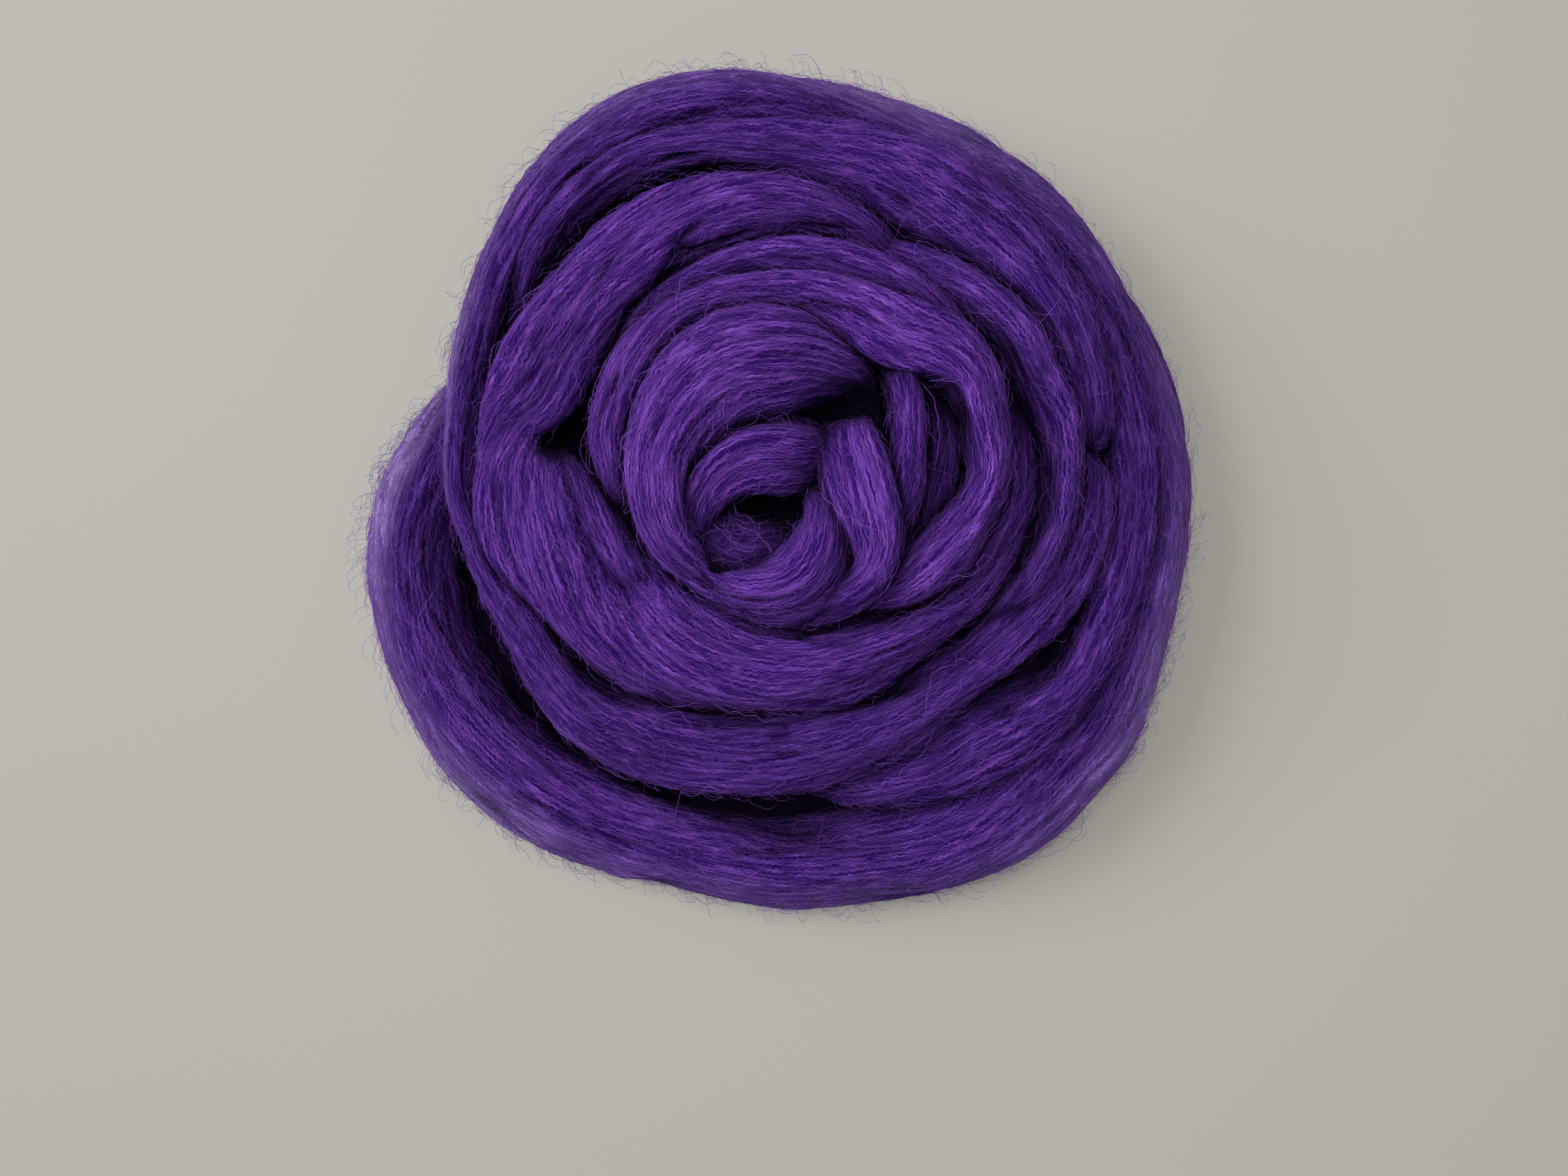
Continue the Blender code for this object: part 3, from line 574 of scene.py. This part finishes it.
def openness(tree, points, outward, reach=45 * MM):
    """Part of the sky that each point sees, from 0 in a closed crease to 1 in the open."""
    directions = [Vector((math.sin(a) * math.cos(b), math.sin(a) * math.sin(b), math.cos(a)))
                  for a, b in SKY]
    weights = [d.z + 0.15 for d in directions]
    whole = sum(weights)
    seen = np.zeros(len(points))
    for i, (point, out) in enumerate(zip(points, outward)):
        start = Vector(point) + Vector(out) * RAY_GAP
        total = 0.0
        for direction, weight in zip(directions, weights):
            if tree.ray_cast(start, direction, reach)[0] is None:
                total += weight
        seen[i] = total / whole
    return seen


def add_attribute(mesh, name, kind, values):
    attribute = mesh.attributes.new(name, kind, "POINT")
    attribute.data.foreach_set("vector" if kind == "FLOAT_VECTOR" else "value",
                               np.asarray(values, dtype=np.float32).ravel())


# Where the fringe is thicker and its painted pale glow lighter, most on the left toward the window
# light: middle and width in degrees, and how much
RIM_LOBES = ((174.0, 19.0, 1.75), (226.0, 15.0, 0.6), (336.0, 20.0, 0.75), (82.0, 17.0, 0.6))
FRINGED_TURN = "outer_turn"
FRINGE_FROM = 86.0    # mm from the nest's middle, where the fringe starts
FRINGE_RISE = 8.0     # mm, over which it becomes whole
FRINGE_LEAST = 0.32   # how thick it is away from the lobes


def rim_growth(skin):
    """How thick the loose fringe grows and how strongly its pale glow is painted: only on the
    outer flank, most on the left lobe, where the window light falls.
    """
    radius = np.hypot(skin.points[..., 0], skin.points[..., 1])
    away = (skin.points[..., :2] * skin.outward[..., :2]).sum(axis=-1) / np.maximum(radius, 1e-6)
    angle = np.degrees(np.arctan2(skin.points[..., 1], skin.points[..., 0])) % 360.0
    lobe = sum(height * np.exp(-((angle - middle) / width) ** 2)
               for middle, width, height in RIM_LOBES)
    # More on the flank that faces up, which also makes the painted glow lighter there
    upper = np.clip((skin.outward[..., 2] + 0.35) / 0.7, 0.25, 1)
    outer = np.clip((radius / MM - FRINGE_FROM) / FRINGE_RISE, 0, 1)
    return outer * np.clip(away, 0, 1) ** 1.2 * (FRINGE_LEAST + lobe) * upper


def wool_object(name, skin, seen, fringe):
    """A closed mesh of the skin, with a fan of triangles over each end."""
    rows, sides = skin.points.shape[:2]
    tips = skin.points[[0, -1]].mean(axis=1)
    points = np.vstack([skin.points.reshape(-1, 3), tips])
    faces = skin_faces(rows, sides).tolist()
    first, last, end = rows * sides, rows * sides + 1, (rows - 1) * sides
    faces += [(first, (k + 1) % sides, k) for k in range(sides)]
    faces += [(last, end + k, end + (k + 1) % sides) for k in range(sides)]
    mesh = bpy.data.meshes.new(name)
    mesh.from_pydata(points.tolist(), [], faces)
    for key, values in ((FLOW, skin.flow), (LAY, skin.lay)):
        ends = values[[0, -1]].mean(axis=1)
        add_attribute(mesh, key, "FLOAT_VECTOR", np.vstack([values.reshape(-1, 3), ends]))
    for key, values in ((OPEN, seen), (RIM, fringe)):
        ends = values[[0, -1]].mean(axis=1)
        add_attribute(mesh, key, "FLOAT", np.concatenate([values.ravel(), ends]))
    mesh.polygons.foreach_set("use_smooth", [True] * len(mesh.polygons))
    bm = bmesh.new()
    bm.from_mesh(mesh)
    bmesh.ops.recalc_face_normals(bm, faces=bm.faces)
    bm.to_mesh(mesh)
    bm.free()
    obj = bpy.data.objects.new(name, mesh)
    bpy.context.scene.collection.objects.link(obj)
    return obj


def shade_tree(skins):
    """A search tree over all turns at once, for the light that reaches each point."""
    points, faces, count = [], [], 0
    for skin in skins:
        rows, sides = skin.points.shape[:2]
        points.append(skin.points.reshape(-1, 3))
        faces.append(skin_faces(rows, sides) + count)
        count += rows * sides
    return BVHTree.FromPolygons(np.vstack(points).tolist(), np.vstack(faces).tolist())


def spread(coarse, rows, sides, step):
    """Stretches values of every few sections and sides over all of them, smoothly."""
    i = np.arange(rows) / step
    low = np.minimum(i.astype(int), coarse.shape[0] - 1)
    high = np.minimum(low + 1, coarse.shape[0] - 1)
    f = np.clip(i - low, 0, 1)[:, None]
    tall = coarse[low] * (1 - f) + coarse[high] * f
    j = np.arange(sides) * coarse.shape[1] / sides
    left = j.astype(int) % coarse.shape[1]
    g = (j - j.astype(int))[None, :]
    return tall[:, left] * (1 - g) + tall[:, (left + 1) % coarse.shape[1]] * g


def blurred(values):
    """Evens out values over neighbouring sections and sides."""
    for _ in range(2):
        padded = np.pad(values, ((1, 1), (0, 0)), mode="edge")
        values = (padded[:-2] + 2 * values + padded[2:]) / 4
        values = (np.roll(values, 1, axis=1) + 2 * values + np.roll(values, -1, axis=1)) / 4
    return values


def light_on(tree, skin):
    """How open each point of the skin is, a little less in its grooves; the painted shade follows
    it.
    """
    rows, sides = skin.points.shape[:2]
    some = skin.points[::SHADE_STEP, ::SHADE_STEP]
    outward = skin.outward[::SHADE_STEP, ::SHADE_STEP]
    seen = openness(tree, some.reshape(-1, 3), outward.reshape(-1, 3))
    seen = spread(blurred(seen.reshape(some.shape[:2])), rows, sides, SHADE_STEP)
    return seen * (1.0 - GROOVE_SHADE * skin.hollow * seen)


# Materials
CRIMP_WAVE = 2.2 * MM               # length of a wave of the drawn fibres
CRIMP_SWING = 0.13 * MM
CRIMP_WANDER = 18.0                 # radians by which neighbouring waves get out of step
WANDER_SCALE = (60.0, 170.0, 1.0)   # how often the noise changes along and around, a metre
LOCK_SCALE = (22.0, 330.0, 1.0)
HUE_SCALE = (25.0, 120.0, 1.0)
LOCK_CONTRAST, LOCK_LEAST = 0.55, 0.29   # how the wool's colour follows its locks
FIBRE_CONTRAST = 0.68               # how light the drawn fibres are
FIBRE_LEAST = 0.225                 # how much of the drawn fibres stays in a closed crease, under the painted shade
HUE_CONTRAST = 1.3
WOOL_CREASE_SHADE = (0.22, 0.97)          # openness at which the painted crease shade on the wool is darkest, and where the wool is plain again
FIBRE_CREASE_SHADE = (0.04, 0.88)         # the same for the painted shade on a single fibre
BUMP_HEIGHT = 0.26 * MM


class Strokes(NamedTuple):
    """One layer of fibres that is drawn on the wool."""
    slant: float    # sideways for each length along
    along: float    # how often its lines change along the wool, a metre
    across: float   # how often across it
    thin: float     # how thin they are
    weight: float   # how strongly they show


LAYERS = (Strokes(0.0, 34.0, 740.0, 28.0, 1.0), Strokes(0.045, 38.0, 930.0, 27.0, 0.9),
          Strokes(-0.05, 38.0, 1130.0, 25.0, 0.9), Strokes(0.2, 60.0, 580.0, 38.0, 0.5),
          Strokes(-0.17, 60.0, 670.0, 38.0, 0.5))


def new_material(name):
    material = bpy.data.materials.new(name)
    material.use_nodes = True
    net = Net(material.node_tree)
    return material, net, material.node_tree.nodes["Principled BSDF"]


def attribute_wire(net, name, output):
    return net.node("ShaderNodeAttribute", output=output, attribute_name=name)


def wool_material(name, colours, tone):
    """Combed wool: fine crimped fibres that run along the roving, with painted shade in the
    creases and a painted pale glow on the outer flank.
    """
    material, net, shader = new_material(name)
    place = attribute_wire(net, LAY, 1)
    open_sky = attribute_wire(net, OPEN, 2)
    fringe = attribute_wire(net, RIM, 2)
    wander = noise(net, place * WANDER_SCALE, 1.0)
    phase = place.split()[0] * (2 * math.pi / CRIMP_WAVE) + wander * CRIMP_WANDER
    swing = net.node("ShaderNodeCombineXYZ", {1: phase.function("SINE") * CRIMP_SWING})
    crimped = place + swing
    fibres = 0.0
    for layer in LAYERS:
        fibres = strokes(net, crimped, layer) * layer.weight + fibres
    locks = noise(net, place * LOCK_SCALE, 2.0, 0.6)
    hue = noise(net, place * HUE_SCALE, 2.0)
    base = net.mix_colour((hue - 0.5) * HUE_CONTRAST + tone, colours.cool, colours.warm)
    body = net.mix_colour(locks * LOCK_CONTRAST + LOCK_LEAST, colours.deep, base)
    # The fibres' own lines, with painted shade: fewer light fibres show where less sky is seen,
    # more on the open crests
    grain_and_shade = fibres * (locks * 0.25 + open_sky * 0.45 + FIBRE_LEAST)
    bright = net.mix_colour(grain_and_shade * (FIBRE_CONTRAST * (0.62 + 0.58 * tone)), body, colours.light)
    # Painted glow of the lit fringe, partly the fringe's own pale: laid on the outer flank by the
    # rim numbers
    with_fringe_glow = net.mix_colour(fringe * (grain_and_shade * 0.45 + 0.4), bright, colours.fringe_and_glow)
    # Painted shade: the wool goes to near-black where it sees little sky
    lit = net.mix_colour(crease_shade_factor(net, open_sky, *WOOL_CREASE_SHADE), colours.crease, with_fringe_glow)
    bump = net.node("ShaderNodeBump", {"Strength": 1.0, "Distance": BUMP_HEIGHT,
                                       "Height": grain_and_shade * 0.28 + locks * 0.12})
    net.tree.links.new(lit.socket, shader.inputs["Base Color"])
    net.tree.links.new(bump.socket, shader.inputs["Normal"])
    finish_wool(shader, colours)
    return material


def strokes(net, place, layer):
    """Thin lines, 1 on the line and 0 beside it, that run along the wool at a slight slant."""
    x, y, z = place.split()
    # The third number makes every layer cut the noise at another height
    slanted = net.node("ShaderNodeCombineXYZ", {
        0: x * layer.along, 1: (y + x * layer.slant) * layer.across, 2: z + 0.01 * layer.across})
    value = noise(net, slanted, 1.0)
    return (1.0 - (value - 0.5).function("ABSOLUTE") * layer.thin).function("MAXIMUM", 0.0)


def crease_shade_factor(net, open_sky, low, high):
    """Painted shade: goes from 0 deep in a crease, where little light gets out of the wool, to 1
    in the open.
    """
    return net.node("ShaderNodeMapRange", {0: open_sky, 1: low, 2: high, 3: 0.0, 4: 1.0},
                    interpolation_type="SMOOTHSTEP")


def noise(net, place, detail, roughness=0.5):
    return net.node("ShaderNodeTexNoise", {"Vector": place, "Scale": 1.0, "Detail": detail,
                                           "Roughness": roughness})


def finish_wool(shader, colours):
    shader.inputs["Roughness"].default_value = 0.8
    shader.inputs["Specular IOR Level"].default_value = 0.04
    shader.inputs["Sheen Weight"].default_value = 0.04
    shader.inputs["Sheen Roughness"].default_value = 0.5
    shader.inputs["Sheen Tint"].default_value = (*colours.sheen, 1.0)


def fibre_material(name, colours, tone, pale):
    """Single fibres: each has its own shade between the wool's mid and light purple, darkened by
    painted shade in the creases.
    """
    material, net, shader = new_material(name)
    first, second, _ = attribute_wire(net, TONE, 1).split()
    open_sky = attribute_wire(net, OPEN, 2)
    base = net.mix_colour(second * 0.6 + tone - 0.3, colours.cool, colours.warm)
    light = net.mix_colour(first ** 3.0 * (1.0 - pale) + pale, base, colours.light)
    # Painted shade: a fibre in a crease goes to near-black
    lit = net.mix_colour(crease_shade_factor(net, open_sky, *FIBRE_CREASE_SHADE), colours.crease, light)
    net.tree.links.new(lit.socket, shader.inputs["Base Color"])
    finish_wool(shader, colours)
    return material


def floor_material(colour):
    """Plain pale table with a hardly visible unevenness in its tint."""
    material, net, shader = new_material("pale_table")
    place = net.node("ShaderNodeTexCoord", output="Object")
    cloud = net.node("ShaderNodeTexNoise", {"Vector": place, "Scale": 3.0, "Detail": 2.0})
    tint = net.mix_colour(cloud, [c * 0.985 for c in colour], colour)
    net.tree.links.new(tint.socket, shader.inputs["Base Color"])
    shader.inputs["Roughness"].default_value = 0.6
    shader.inputs["Specular IOR Level"].default_value = 0.2
    return material


# Fibres
REACH = 10.0 * MM    # how far a fibre's point may be drawn to the skin
SHRINK = 0.15        # thickness of a fibre's tip against its middle
PROFILE = 3          # sides of a fibre


class Fibres(NamedTuple):
    """How one kind of fibre grows from the skin; lengths in mm."""
    density: float     # on each square centimetre in the open
    length: float
    spread: float      # part of the length that varies
    thickness: float
    crimp: float       # swing of the crimp
    wave: float        # length of one crimp
    lift: float        # how far the middle of a fibre may stand off
    end_lift: float    # how far a free end may stand off
    stray: float       # degrees that a fibre may lie across the others
    sway: float        # part of its length that a fibre may bow sideways
    points: int        # points along a fibre
    edge: float        # 0 grows everywhere, 1 only on the nest's outer flank
    pale: float        # how far the fibres go to the lightest purple, 0 to 1


INPUTS = {name: "NodeSocketFloat" for name in (
    "Density", "Length", "Spread", "Thickness", "Crimp", "Wave", "Lift", "End Lift", "Stray",
    "Sway", "Edge")}
INPUTS.update({"Points": "NodeSocketInt", "Seed": "NodeSocketInt",
               "Material": "NodeSocketMaterial"})


def fibre_tree():
    """Geometry nodes that cover a skin with crimped fibres laid along its flow."""
    tree = bpy.data.node_groups.new("wool_fibres", "GeometryNodeTree")
    tree.interface.new_socket("Geometry", in_out="INPUT", socket_type="NodeSocketGeometry")
    for name, kind in INPUTS.items():
        tree.interface.new_socket(name, in_out="INPUT", socket_type=kind)
    tree.interface.new_socket("Geometry", in_out="OUTPUT", socket_type="NodeSocketGeometry")
    net = Net(tree)
    entry = tree.nodes.new("NodeGroupInput")
    given = {s.name: Wire(net, s) for s in entry.outputs}
    skin = given["Geometry"]

    def named(name, kind="FLOAT_VECTOR"):
        return net.node("GeometryNodeInputNamedAttribute", {"Name": name}, data_type=kind)

    def store(geometry, name, value):
        return net.node("GeometryNodeStoreNamedAttribute",
                        {"Geometry": geometry, "Name": name, "Value": value},
                        data_type="FLOAT_VECTOR", domain="POINT")

    def dice(step):
        return net.node("FunctionNodeRandomValue",
                        {0: (0.0, 0.0, 0.0), 1: (1.0, 1.0, 1.0), "Seed": given["Seed"] + step},
                        data_type="FLOAT_VECTOR")

    def on_skin(value, target):
        return net.node("GeometryNodeSampleNearestSurface",
                        {"Mesh": skin, "Value": net.node(value), "Sample Position": target},
                        data_type="FLOAT_VECTOR")

    # Roots on the skin, each with its place, its way out and six random numbers
    anywhere = (named(OPEN, "FLOAT") * 3.0 - 0.3).function("MINIMUM", 1.0)
    density = given["Density"] * (anywhere + given["Edge"] * (named(RIM, "FLOAT") - anywhere))
    scatter = net.node("GeometryNodeDistributePointsOnFaces",
                       {"Mesh": skin, "Density": density, "Seed": given["Seed"]})
    normal = Wire(net, scatter.socket.node.outputs["Normal"])
    roots = store(scatter, "root", net.node("GeometryNodeInputPosition"))
    roots = store(roots, "out", normal)
    roots = store(roots, TONE, dice(1.0))
    roots = store(roots, "shape", dice(2.0))
    line = net.node("GeometryNodeCurvePrimitiveLine", {"End": (MM, 0.0, 0.0)})
    line = net.node("GeometryNodeResampleCurve", {"Curve": line, "Count": given["Points"]})
    placed = net.node("GeometryNodeInstanceOnPoints", {"Points": roots, "Instance": line})
    curves = net.node("GeometryNodeRealizeInstances", {"Geometry": placed})

    # The fibre's course over the skin
    t = net.node("GeometryNodeSplineParameter")
    _, stray_way, sway_way = named(TONE).split()
    phase, rise, size = named("shape").split()
    flow = named(FLOW)
    side = named("out").vector("CROSS_PRODUCT", flow).vector("NORMALIZE")
    length = given["Length"] * (1.0 + given["Spread"] * (size * 2.0 - 1.0))
    centred = t - 0.5
    signed = stray_way * 2.0 - 1.0
    angle = given["Stray"] * signed * signed * signed
    way = flow * angle.function("COSINE") + side * angle.function("SINE")
    bow = (sway_way * 2.0 - 1.0) * given["Sway"] * length * centred * centred * 4.0
    turn = (t * length / given["Wave"] + phase) * (2 * math.pi)
    swing = turn.function("SINE") * given["Crimp"]
    target = named("root") + way * (centred * length) + side * (bow + swing)
    step = on_skin("GeometryNodeInputPosition", target) - target
    shorter = REACH / step.vector("LENGTH", output=1).function("MAXIMUM", REACH)
    here = target + step * shorter

    # How far each of its points stands off
    arch = (t * math.pi).function("SINE") * rise * rise * given["Lift"]
    free_end = (rise * 3.0 - 2.0).function("MAXIMUM", 0.0) * given["End Lift"] * t * t
    ripple = (turn * 0.77 + phase * 9.0).function("SINE") * given["Crimp"] * 0.5
    loose = (arch * 800.0).function("MINIMUM", 1.0)
    height = given["Thickness"] * 0.3 + arch + free_end + ripple * loose
    x, y, z = (here + on_skin("GeometryNodeInputNormal", target) * height).split()
    above = z.function("MAXIMUM", given["Thickness"] * 0.6)
    shape = net.node("ShaderNodeCombineXYZ", {0: x, 1: y, 2: above})
    curves = net.node("GeometryNodeSetPosition", {"Geometry": curves, "Position": shape})

    ends = (t * (1.0 - t) * 10.0 + SHRINK).function("MINIMUM", 1.0)
    radius = given["Thickness"] * 0.5 * ends
    ring = net.node("GeometryNodeCurvePrimitiveCircle", {"Resolution": PROFILE, "Radius": 1.0})
    tubes = net.node("GeometryNodeCurveToMesh",
                     {"Curve": curves, "Profile Curve": ring, "Scale": radius, "Fill Caps": True})
    whole = net.node("GeometryNodeRealizeInstances", {"Geometry": tubes})
    final = net.node("GeometryNodeSetMaterial", {"Geometry": whole, "Material": given["Material"]})
    result = tree.nodes.new("NodeGroupOutput")
    tree.links.new(final.socket, result.inputs[0])
    return tree


def grow_fibres(tree, skin, kind, material, seed):
    """Runs the fibre nodes on a copy of the skin and gives a plain mesh of the fibres."""
    mesh = skin.data.copy()
    host = bpy.data.objects.new("fibre_host", mesh)
    bpy.context.scene.collection.objects.link(host)
    modifier = host.modifiers.new("fibres", "NODES")
    modifier.node_group = tree
    values = {"Density": kind.density * 1e4, "Length": kind.length * MM, "Spread": kind.spread,
              "Thickness": kind.thickness * MM, "Crimp": kind.crimp * MM, "Wave": kind.wave * MM,
              "Lift": kind.lift * MM, "End Lift": kind.end_lift * MM,
              "Stray": math.radians(kind.stray), "Sway": kind.sway, "Edge": kind.edge,
              "Points": kind.points, "Seed": seed, "Material": material}
    for item in tree.interface.items_tree:
        if item.in_out == "INPUT" and item.name in values:
            modifier[item.identifier] = values[item.name]
    host.update_tag()
    graph = bpy.context.evaluated_depsgraph_get()
    result = bpy.data.meshes.new_from_object(host.evaluated_get(graph))
    bpy.data.objects.remove(host, do_unlink=True)
    for name in ("root", "out", "shape", FLOW, LAY, RIM):
        if name in result.attributes:
            result.attributes.remove(result.attributes[name])
    return result


def joined(name, meshes):
    """One object that holds all the given meshes."""
    parts = []
    for mesh in meshes:
        part = bpy.data.objects.new(name, mesh)
        bpy.context.scene.collection.objects.link(part)
        parts.append(part)
    with bpy.context.temp_override(active_object=parts[0], object=parts[0],
                                   selected_objects=parts, selected_editable_objects=parts):
        if len(parts) > 1:
            bpy.ops.object.join()
    parts[0].name = name
    return parts[0]


# Operators
def settings():
    scene = bpy.context.scene
    return scene.roving_sizes, scene.roving_colours, scene.roving_stage


def hand_to_frame(obj):
    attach(obj, "root")
    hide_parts(NODE)


class ROVING_OT_turns(bpy.types.Operator):
    """Builds every turn of the roving as a solid of combed wool"""
    bl_idname = "roving.turns"
    bl_label = "Build Turns"

    def execute(self, context):
        sizes, colours, _ = settings()
        skins = [wool_skin(turn, sizes.along * turn.coarse, sizes.around * turn.coarse,
                           sizes.seed + number) for number, turn in enumerate(ALL_TURNS)]
        tree = shade_tree(skins)
        for turn, skin in zip(ALL_TURNS, skins):
            fringe = rim_growth(skin) * (turn.name == FRINGED_TURN)
            obj = wool_object("roving_" + turn.name, skin, light_on(tree, skin), fringe)
            obj.data.materials.append(wool_material("wool_" + turn.name, colours, turn.tone))
            hand_to_frame(obj)
        return {"FINISHED"}


FIBRE_GROUPS = {
    "outer": ("outer_turn",),
    "side": ("under_turn", "lower_right_turn", "right_turn", "right_bight"),
    "inner": ("top_turn", "fan_strand", "core_rim", "rim_shoulder"),
    "core": ("outer_inner_bight", "inner_inner_bight", "core_curl", "core_fold", "core_tongue",
             "core_floor"),
}
FUZZ_SEED = 9000      # each kind of fibre has seeds of its own
HALO_SEED = 20000
HAIR_SEED = 30000
WISP_SEED = 31000


def grow_group(label, names, kind, seed):
    """One piece of fibres on the named turns."""
    _, colours, _ = settings()
    tree = bpy.data.node_groups.get("wool_fibres") or fibre_tree()
    tones = {turn.name: turn.tone for turn in TURNS}
    meshes = []
    for number, name in enumerate(names):
        material = fibre_material(f"{label}_of_{name}", colours, tones[name], kind.pale)
        meshes.append(grow_fibres(tree, bpy.data.objects["roving_" + name], kind, material,
                                  seed + 31 * number))
    hand_to_frame(joined(label, meshes))


class ROVING_OT_surface_fibres(bpy.types.Operator):
    """Lays crimped fibres on the turns, along the way the wool is combed"""
    bl_idname = "roving.surface_fibres"
    bl_label = "Lay Surface Fibres"

    def execute(self, context):
        sizes, _, _ = settings()
        kind = Fibres(density=sizes.surface_density, length=sizes.fibre_length / MM, spread=0.4,
                      thickness=sizes.fibre_thickness / MM, crimp=sizes.crimp_height / MM,
                      wave=sizes.crimp_length / MM, lift=0.8, end_lift=1.5, stray=50.0, sway=0.15,
                      points=7, edge=0.0, pale=0.5)
        for number, (group, names) in enumerate(FIBRE_GROUPS.items()):
            grow_group(f"surface_fibres_{group}", names, kind, sizes.seed + 1000 * (number + 1))
        return {"FINISHED"}


class ROVING_OT_fuzz(bpy.types.Operator):
    """Lifts short thin fibres off the turns"""
    bl_idname = "roving.fuzz"
    bl_label = "Raise Fuzz"

    def execute(self, context):
        sizes, _, _ = settings()
        kind = Fibres(density=sizes.fuzz_density, length=5.6, spread=0.6,
                      thickness=sizes.fuzz_thickness / MM, crimp=0.28, wave=2.3, lift=2.0,
                      end_lift=3.0, stray=85.0, sway=0.35, points=8, edge=0.0, pale=0.55)
        for number, (group, names) in enumerate(FIBRE_GROUPS.items()):
            grow_group(f"fuzz_{group}", names, kind, sizes.seed + FUZZ_SEED + 1000 * number)
        return {"FINISHED"}


class ROVING_OT_halo(bpy.types.Operator):
    """Grows a thicker fringe of loose fibres on the outer flank of the nest"""
    bl_idname = "roving.halo"
    bl_label = "Grow Halo"

    def execute(self, context):
        sizes, _, _ = settings()
        kind = Fibres(density=sizes.halo_density, length=6.5, spread=0.7,
                      thickness=sizes.fuzz_thickness / MM * 1.15, crimp=0.35, wave=3.0, lift=4.0,
                      end_lift=5.5, stray=88.0, sway=0.6, points=9, edge=1.0, pale=0.55)
        grow_group("halo_outer", (FRINGED_TURN,), kind, sizes.seed + HALO_SEED)
        return {"FINISHED"}


class ROVING_OT_stray_hairs(bpy.types.Operator):
    """Adds a few long single hairs that stand or lie loose, and wisps in the core"""
    bl_idname = "roving.stray_hairs"
    bl_label = "Add Stray Hairs"

    def execute(self, context):
        sizes, _, _ = settings()
        names = [turn.name for turn in TURNS if turn.name != "under_turn"]
        hairs = Fibres(density=sizes.hair_density, length=20.0, spread=0.5,
                       thickness=sizes.fuzz_thickness / MM * 1.6, crimp=0.3, wave=5.0, lift=5.0,
                       end_lift=6.5, stray=85.0, sway=0.5, points=24, edge=0.0, pale=1.0)
        grow_group("stray_hairs", names, hairs, sizes.seed + HAIR_SEED)
        wisps = hairs._replace(density=13.0, length=11.0, thickness=0.15, lift=3.5,
                               end_lift=5.0, points=14)
        grow_group("core_wisps", ("core_floor",), wisps, sizes.seed + WISP_SEED)
        return {"FINISHED"}


# Name, place (m), side (m), power (W) and colour
LIGHTS = (("overhead_light", (-0.12, 0.24, 1.5), 0.8, 11.3, (1.0, 0.98, 0.95)),
          ("window_light", (-4.8, 1.28, 3.4), 3.4, 182.0, (0.97, 0.98, 1.0)))
ROOM_COLOUR = (0.9, 0.92, 0.95, 1.0)
ROOM_STRENGTH = 0.132
CAMERA_X, CAMERA_Y = 0.001, -0.0279


class ROVING_OT_stage(bpy.types.Operator):
    """Builds the pale table, the soft light and the camera above the nest"""
    bl_idname = "roving.stage"
    bl_label = "Build Stage"

    def execute(self, context):
        _, _, stage = settings()
        scene = context.scene
        bm = bmesh.new()
        bmesh.ops.create_grid(bm, x_segments=1, y_segments=1, size=2.0)
        mesh = bpy.data.meshes.new("pale_table")
        bm.to_mesh(mesh)
        bm.free()
        table = bpy.data.objects.new("pale_table", mesh)
        scene.collection.objects.link(table)
        mesh.materials.append(floor_material(tuple(stage.floor)))
        for light in LIGHTS:
            add_area_light(*light)
        world = bpy.data.worlds.new("soft_room")
        world.use_nodes = True
        world.node_tree.nodes["Background"].inputs["Color"].default_value = ROOM_COLOUR
        world.node_tree.nodes["Background"].inputs["Strength"].default_value = ROOM_STRENGTH
        scene.world = world
        camera = bpy.data.cameras.new("overhead_camera")
        camera.sensor_width = 36.0
        camera.angle = stage.camera_angle
        camera.clip_start = 0.01
        rig = bpy.data.objects.new("overhead_camera", camera)
        rig.location = (CAMERA_X, CAMERA_Y, stage.camera_height)
        scene.collection.objects.link(rig)
        scene.camera = rig
        scene.view_settings.view_transform = "Standard"
        return {"FINISHED"}


def add_area_light(name, place, size, power, colour):
    """A square light that points at the nest's foot."""
    light = bpy.data.lights.new(name, "AREA")
    light.size = size
    light.energy = power
    light.color = colour
    obj = bpy.data.objects.new(name, light)
    obj.location = place
    obj.rotation_euler = (-Vector(place)).to_track_quat("-Z", "Y").to_euler()
    bpy.context.scene.collection.objects.link(obj)


class ROVING_PT_panel(bpy.types.Panel):
    """Lists the steps that build the nest"""
    bl_label = "Roving Nest"
    bl_idname = "ROVING_PT_panel"
    bl_space_type = "VIEW_3D"
    bl_region_type = "UI"
    bl_category = "Roving"

    def draw(self, context):
        for operator in OPERATORS:
            self.layout.operator(operator.bl_idname)


GROUPS = {"roving_sizes": RovingSizes, "roving_colours": RovingColours,
          "roving_stage": StageSettings}
OPERATORS = (ROVING_OT_stage, ROVING_OT_turns, ROVING_OT_surface_fibres, ROVING_OT_fuzz,
             ROVING_OT_halo, ROVING_OT_stray_hairs)


def register():
    for cls in tuple(GROUPS.values()) + OPERATORS + (ROVING_PT_panel,):
        bpy.utils.register_class(cls)
    for name, cls in GROUPS.items():
        setattr(bpy.types.Scene, name, PointerProperty(type=cls))


def unregister():
    for name in GROUPS:
        delattr(bpy.types.Scene, name)
    for cls in (ROVING_PT_panel,) + OPERATORS[::-1] + tuple(GROUPS.values())[::-1]:
        bpy.utils.unregister_class(cls)


def main():
    register()
    bpy.ops.roving.stage()
    bpy.ops.roving.turns()
    bpy.ops.roving.surface_fibres()
    bpy.ops.roving.fuzz()
    bpy.ops.roving.halo()
    bpy.ops.roving.stray_hairs()


if __name__ == "__main__":
    main()
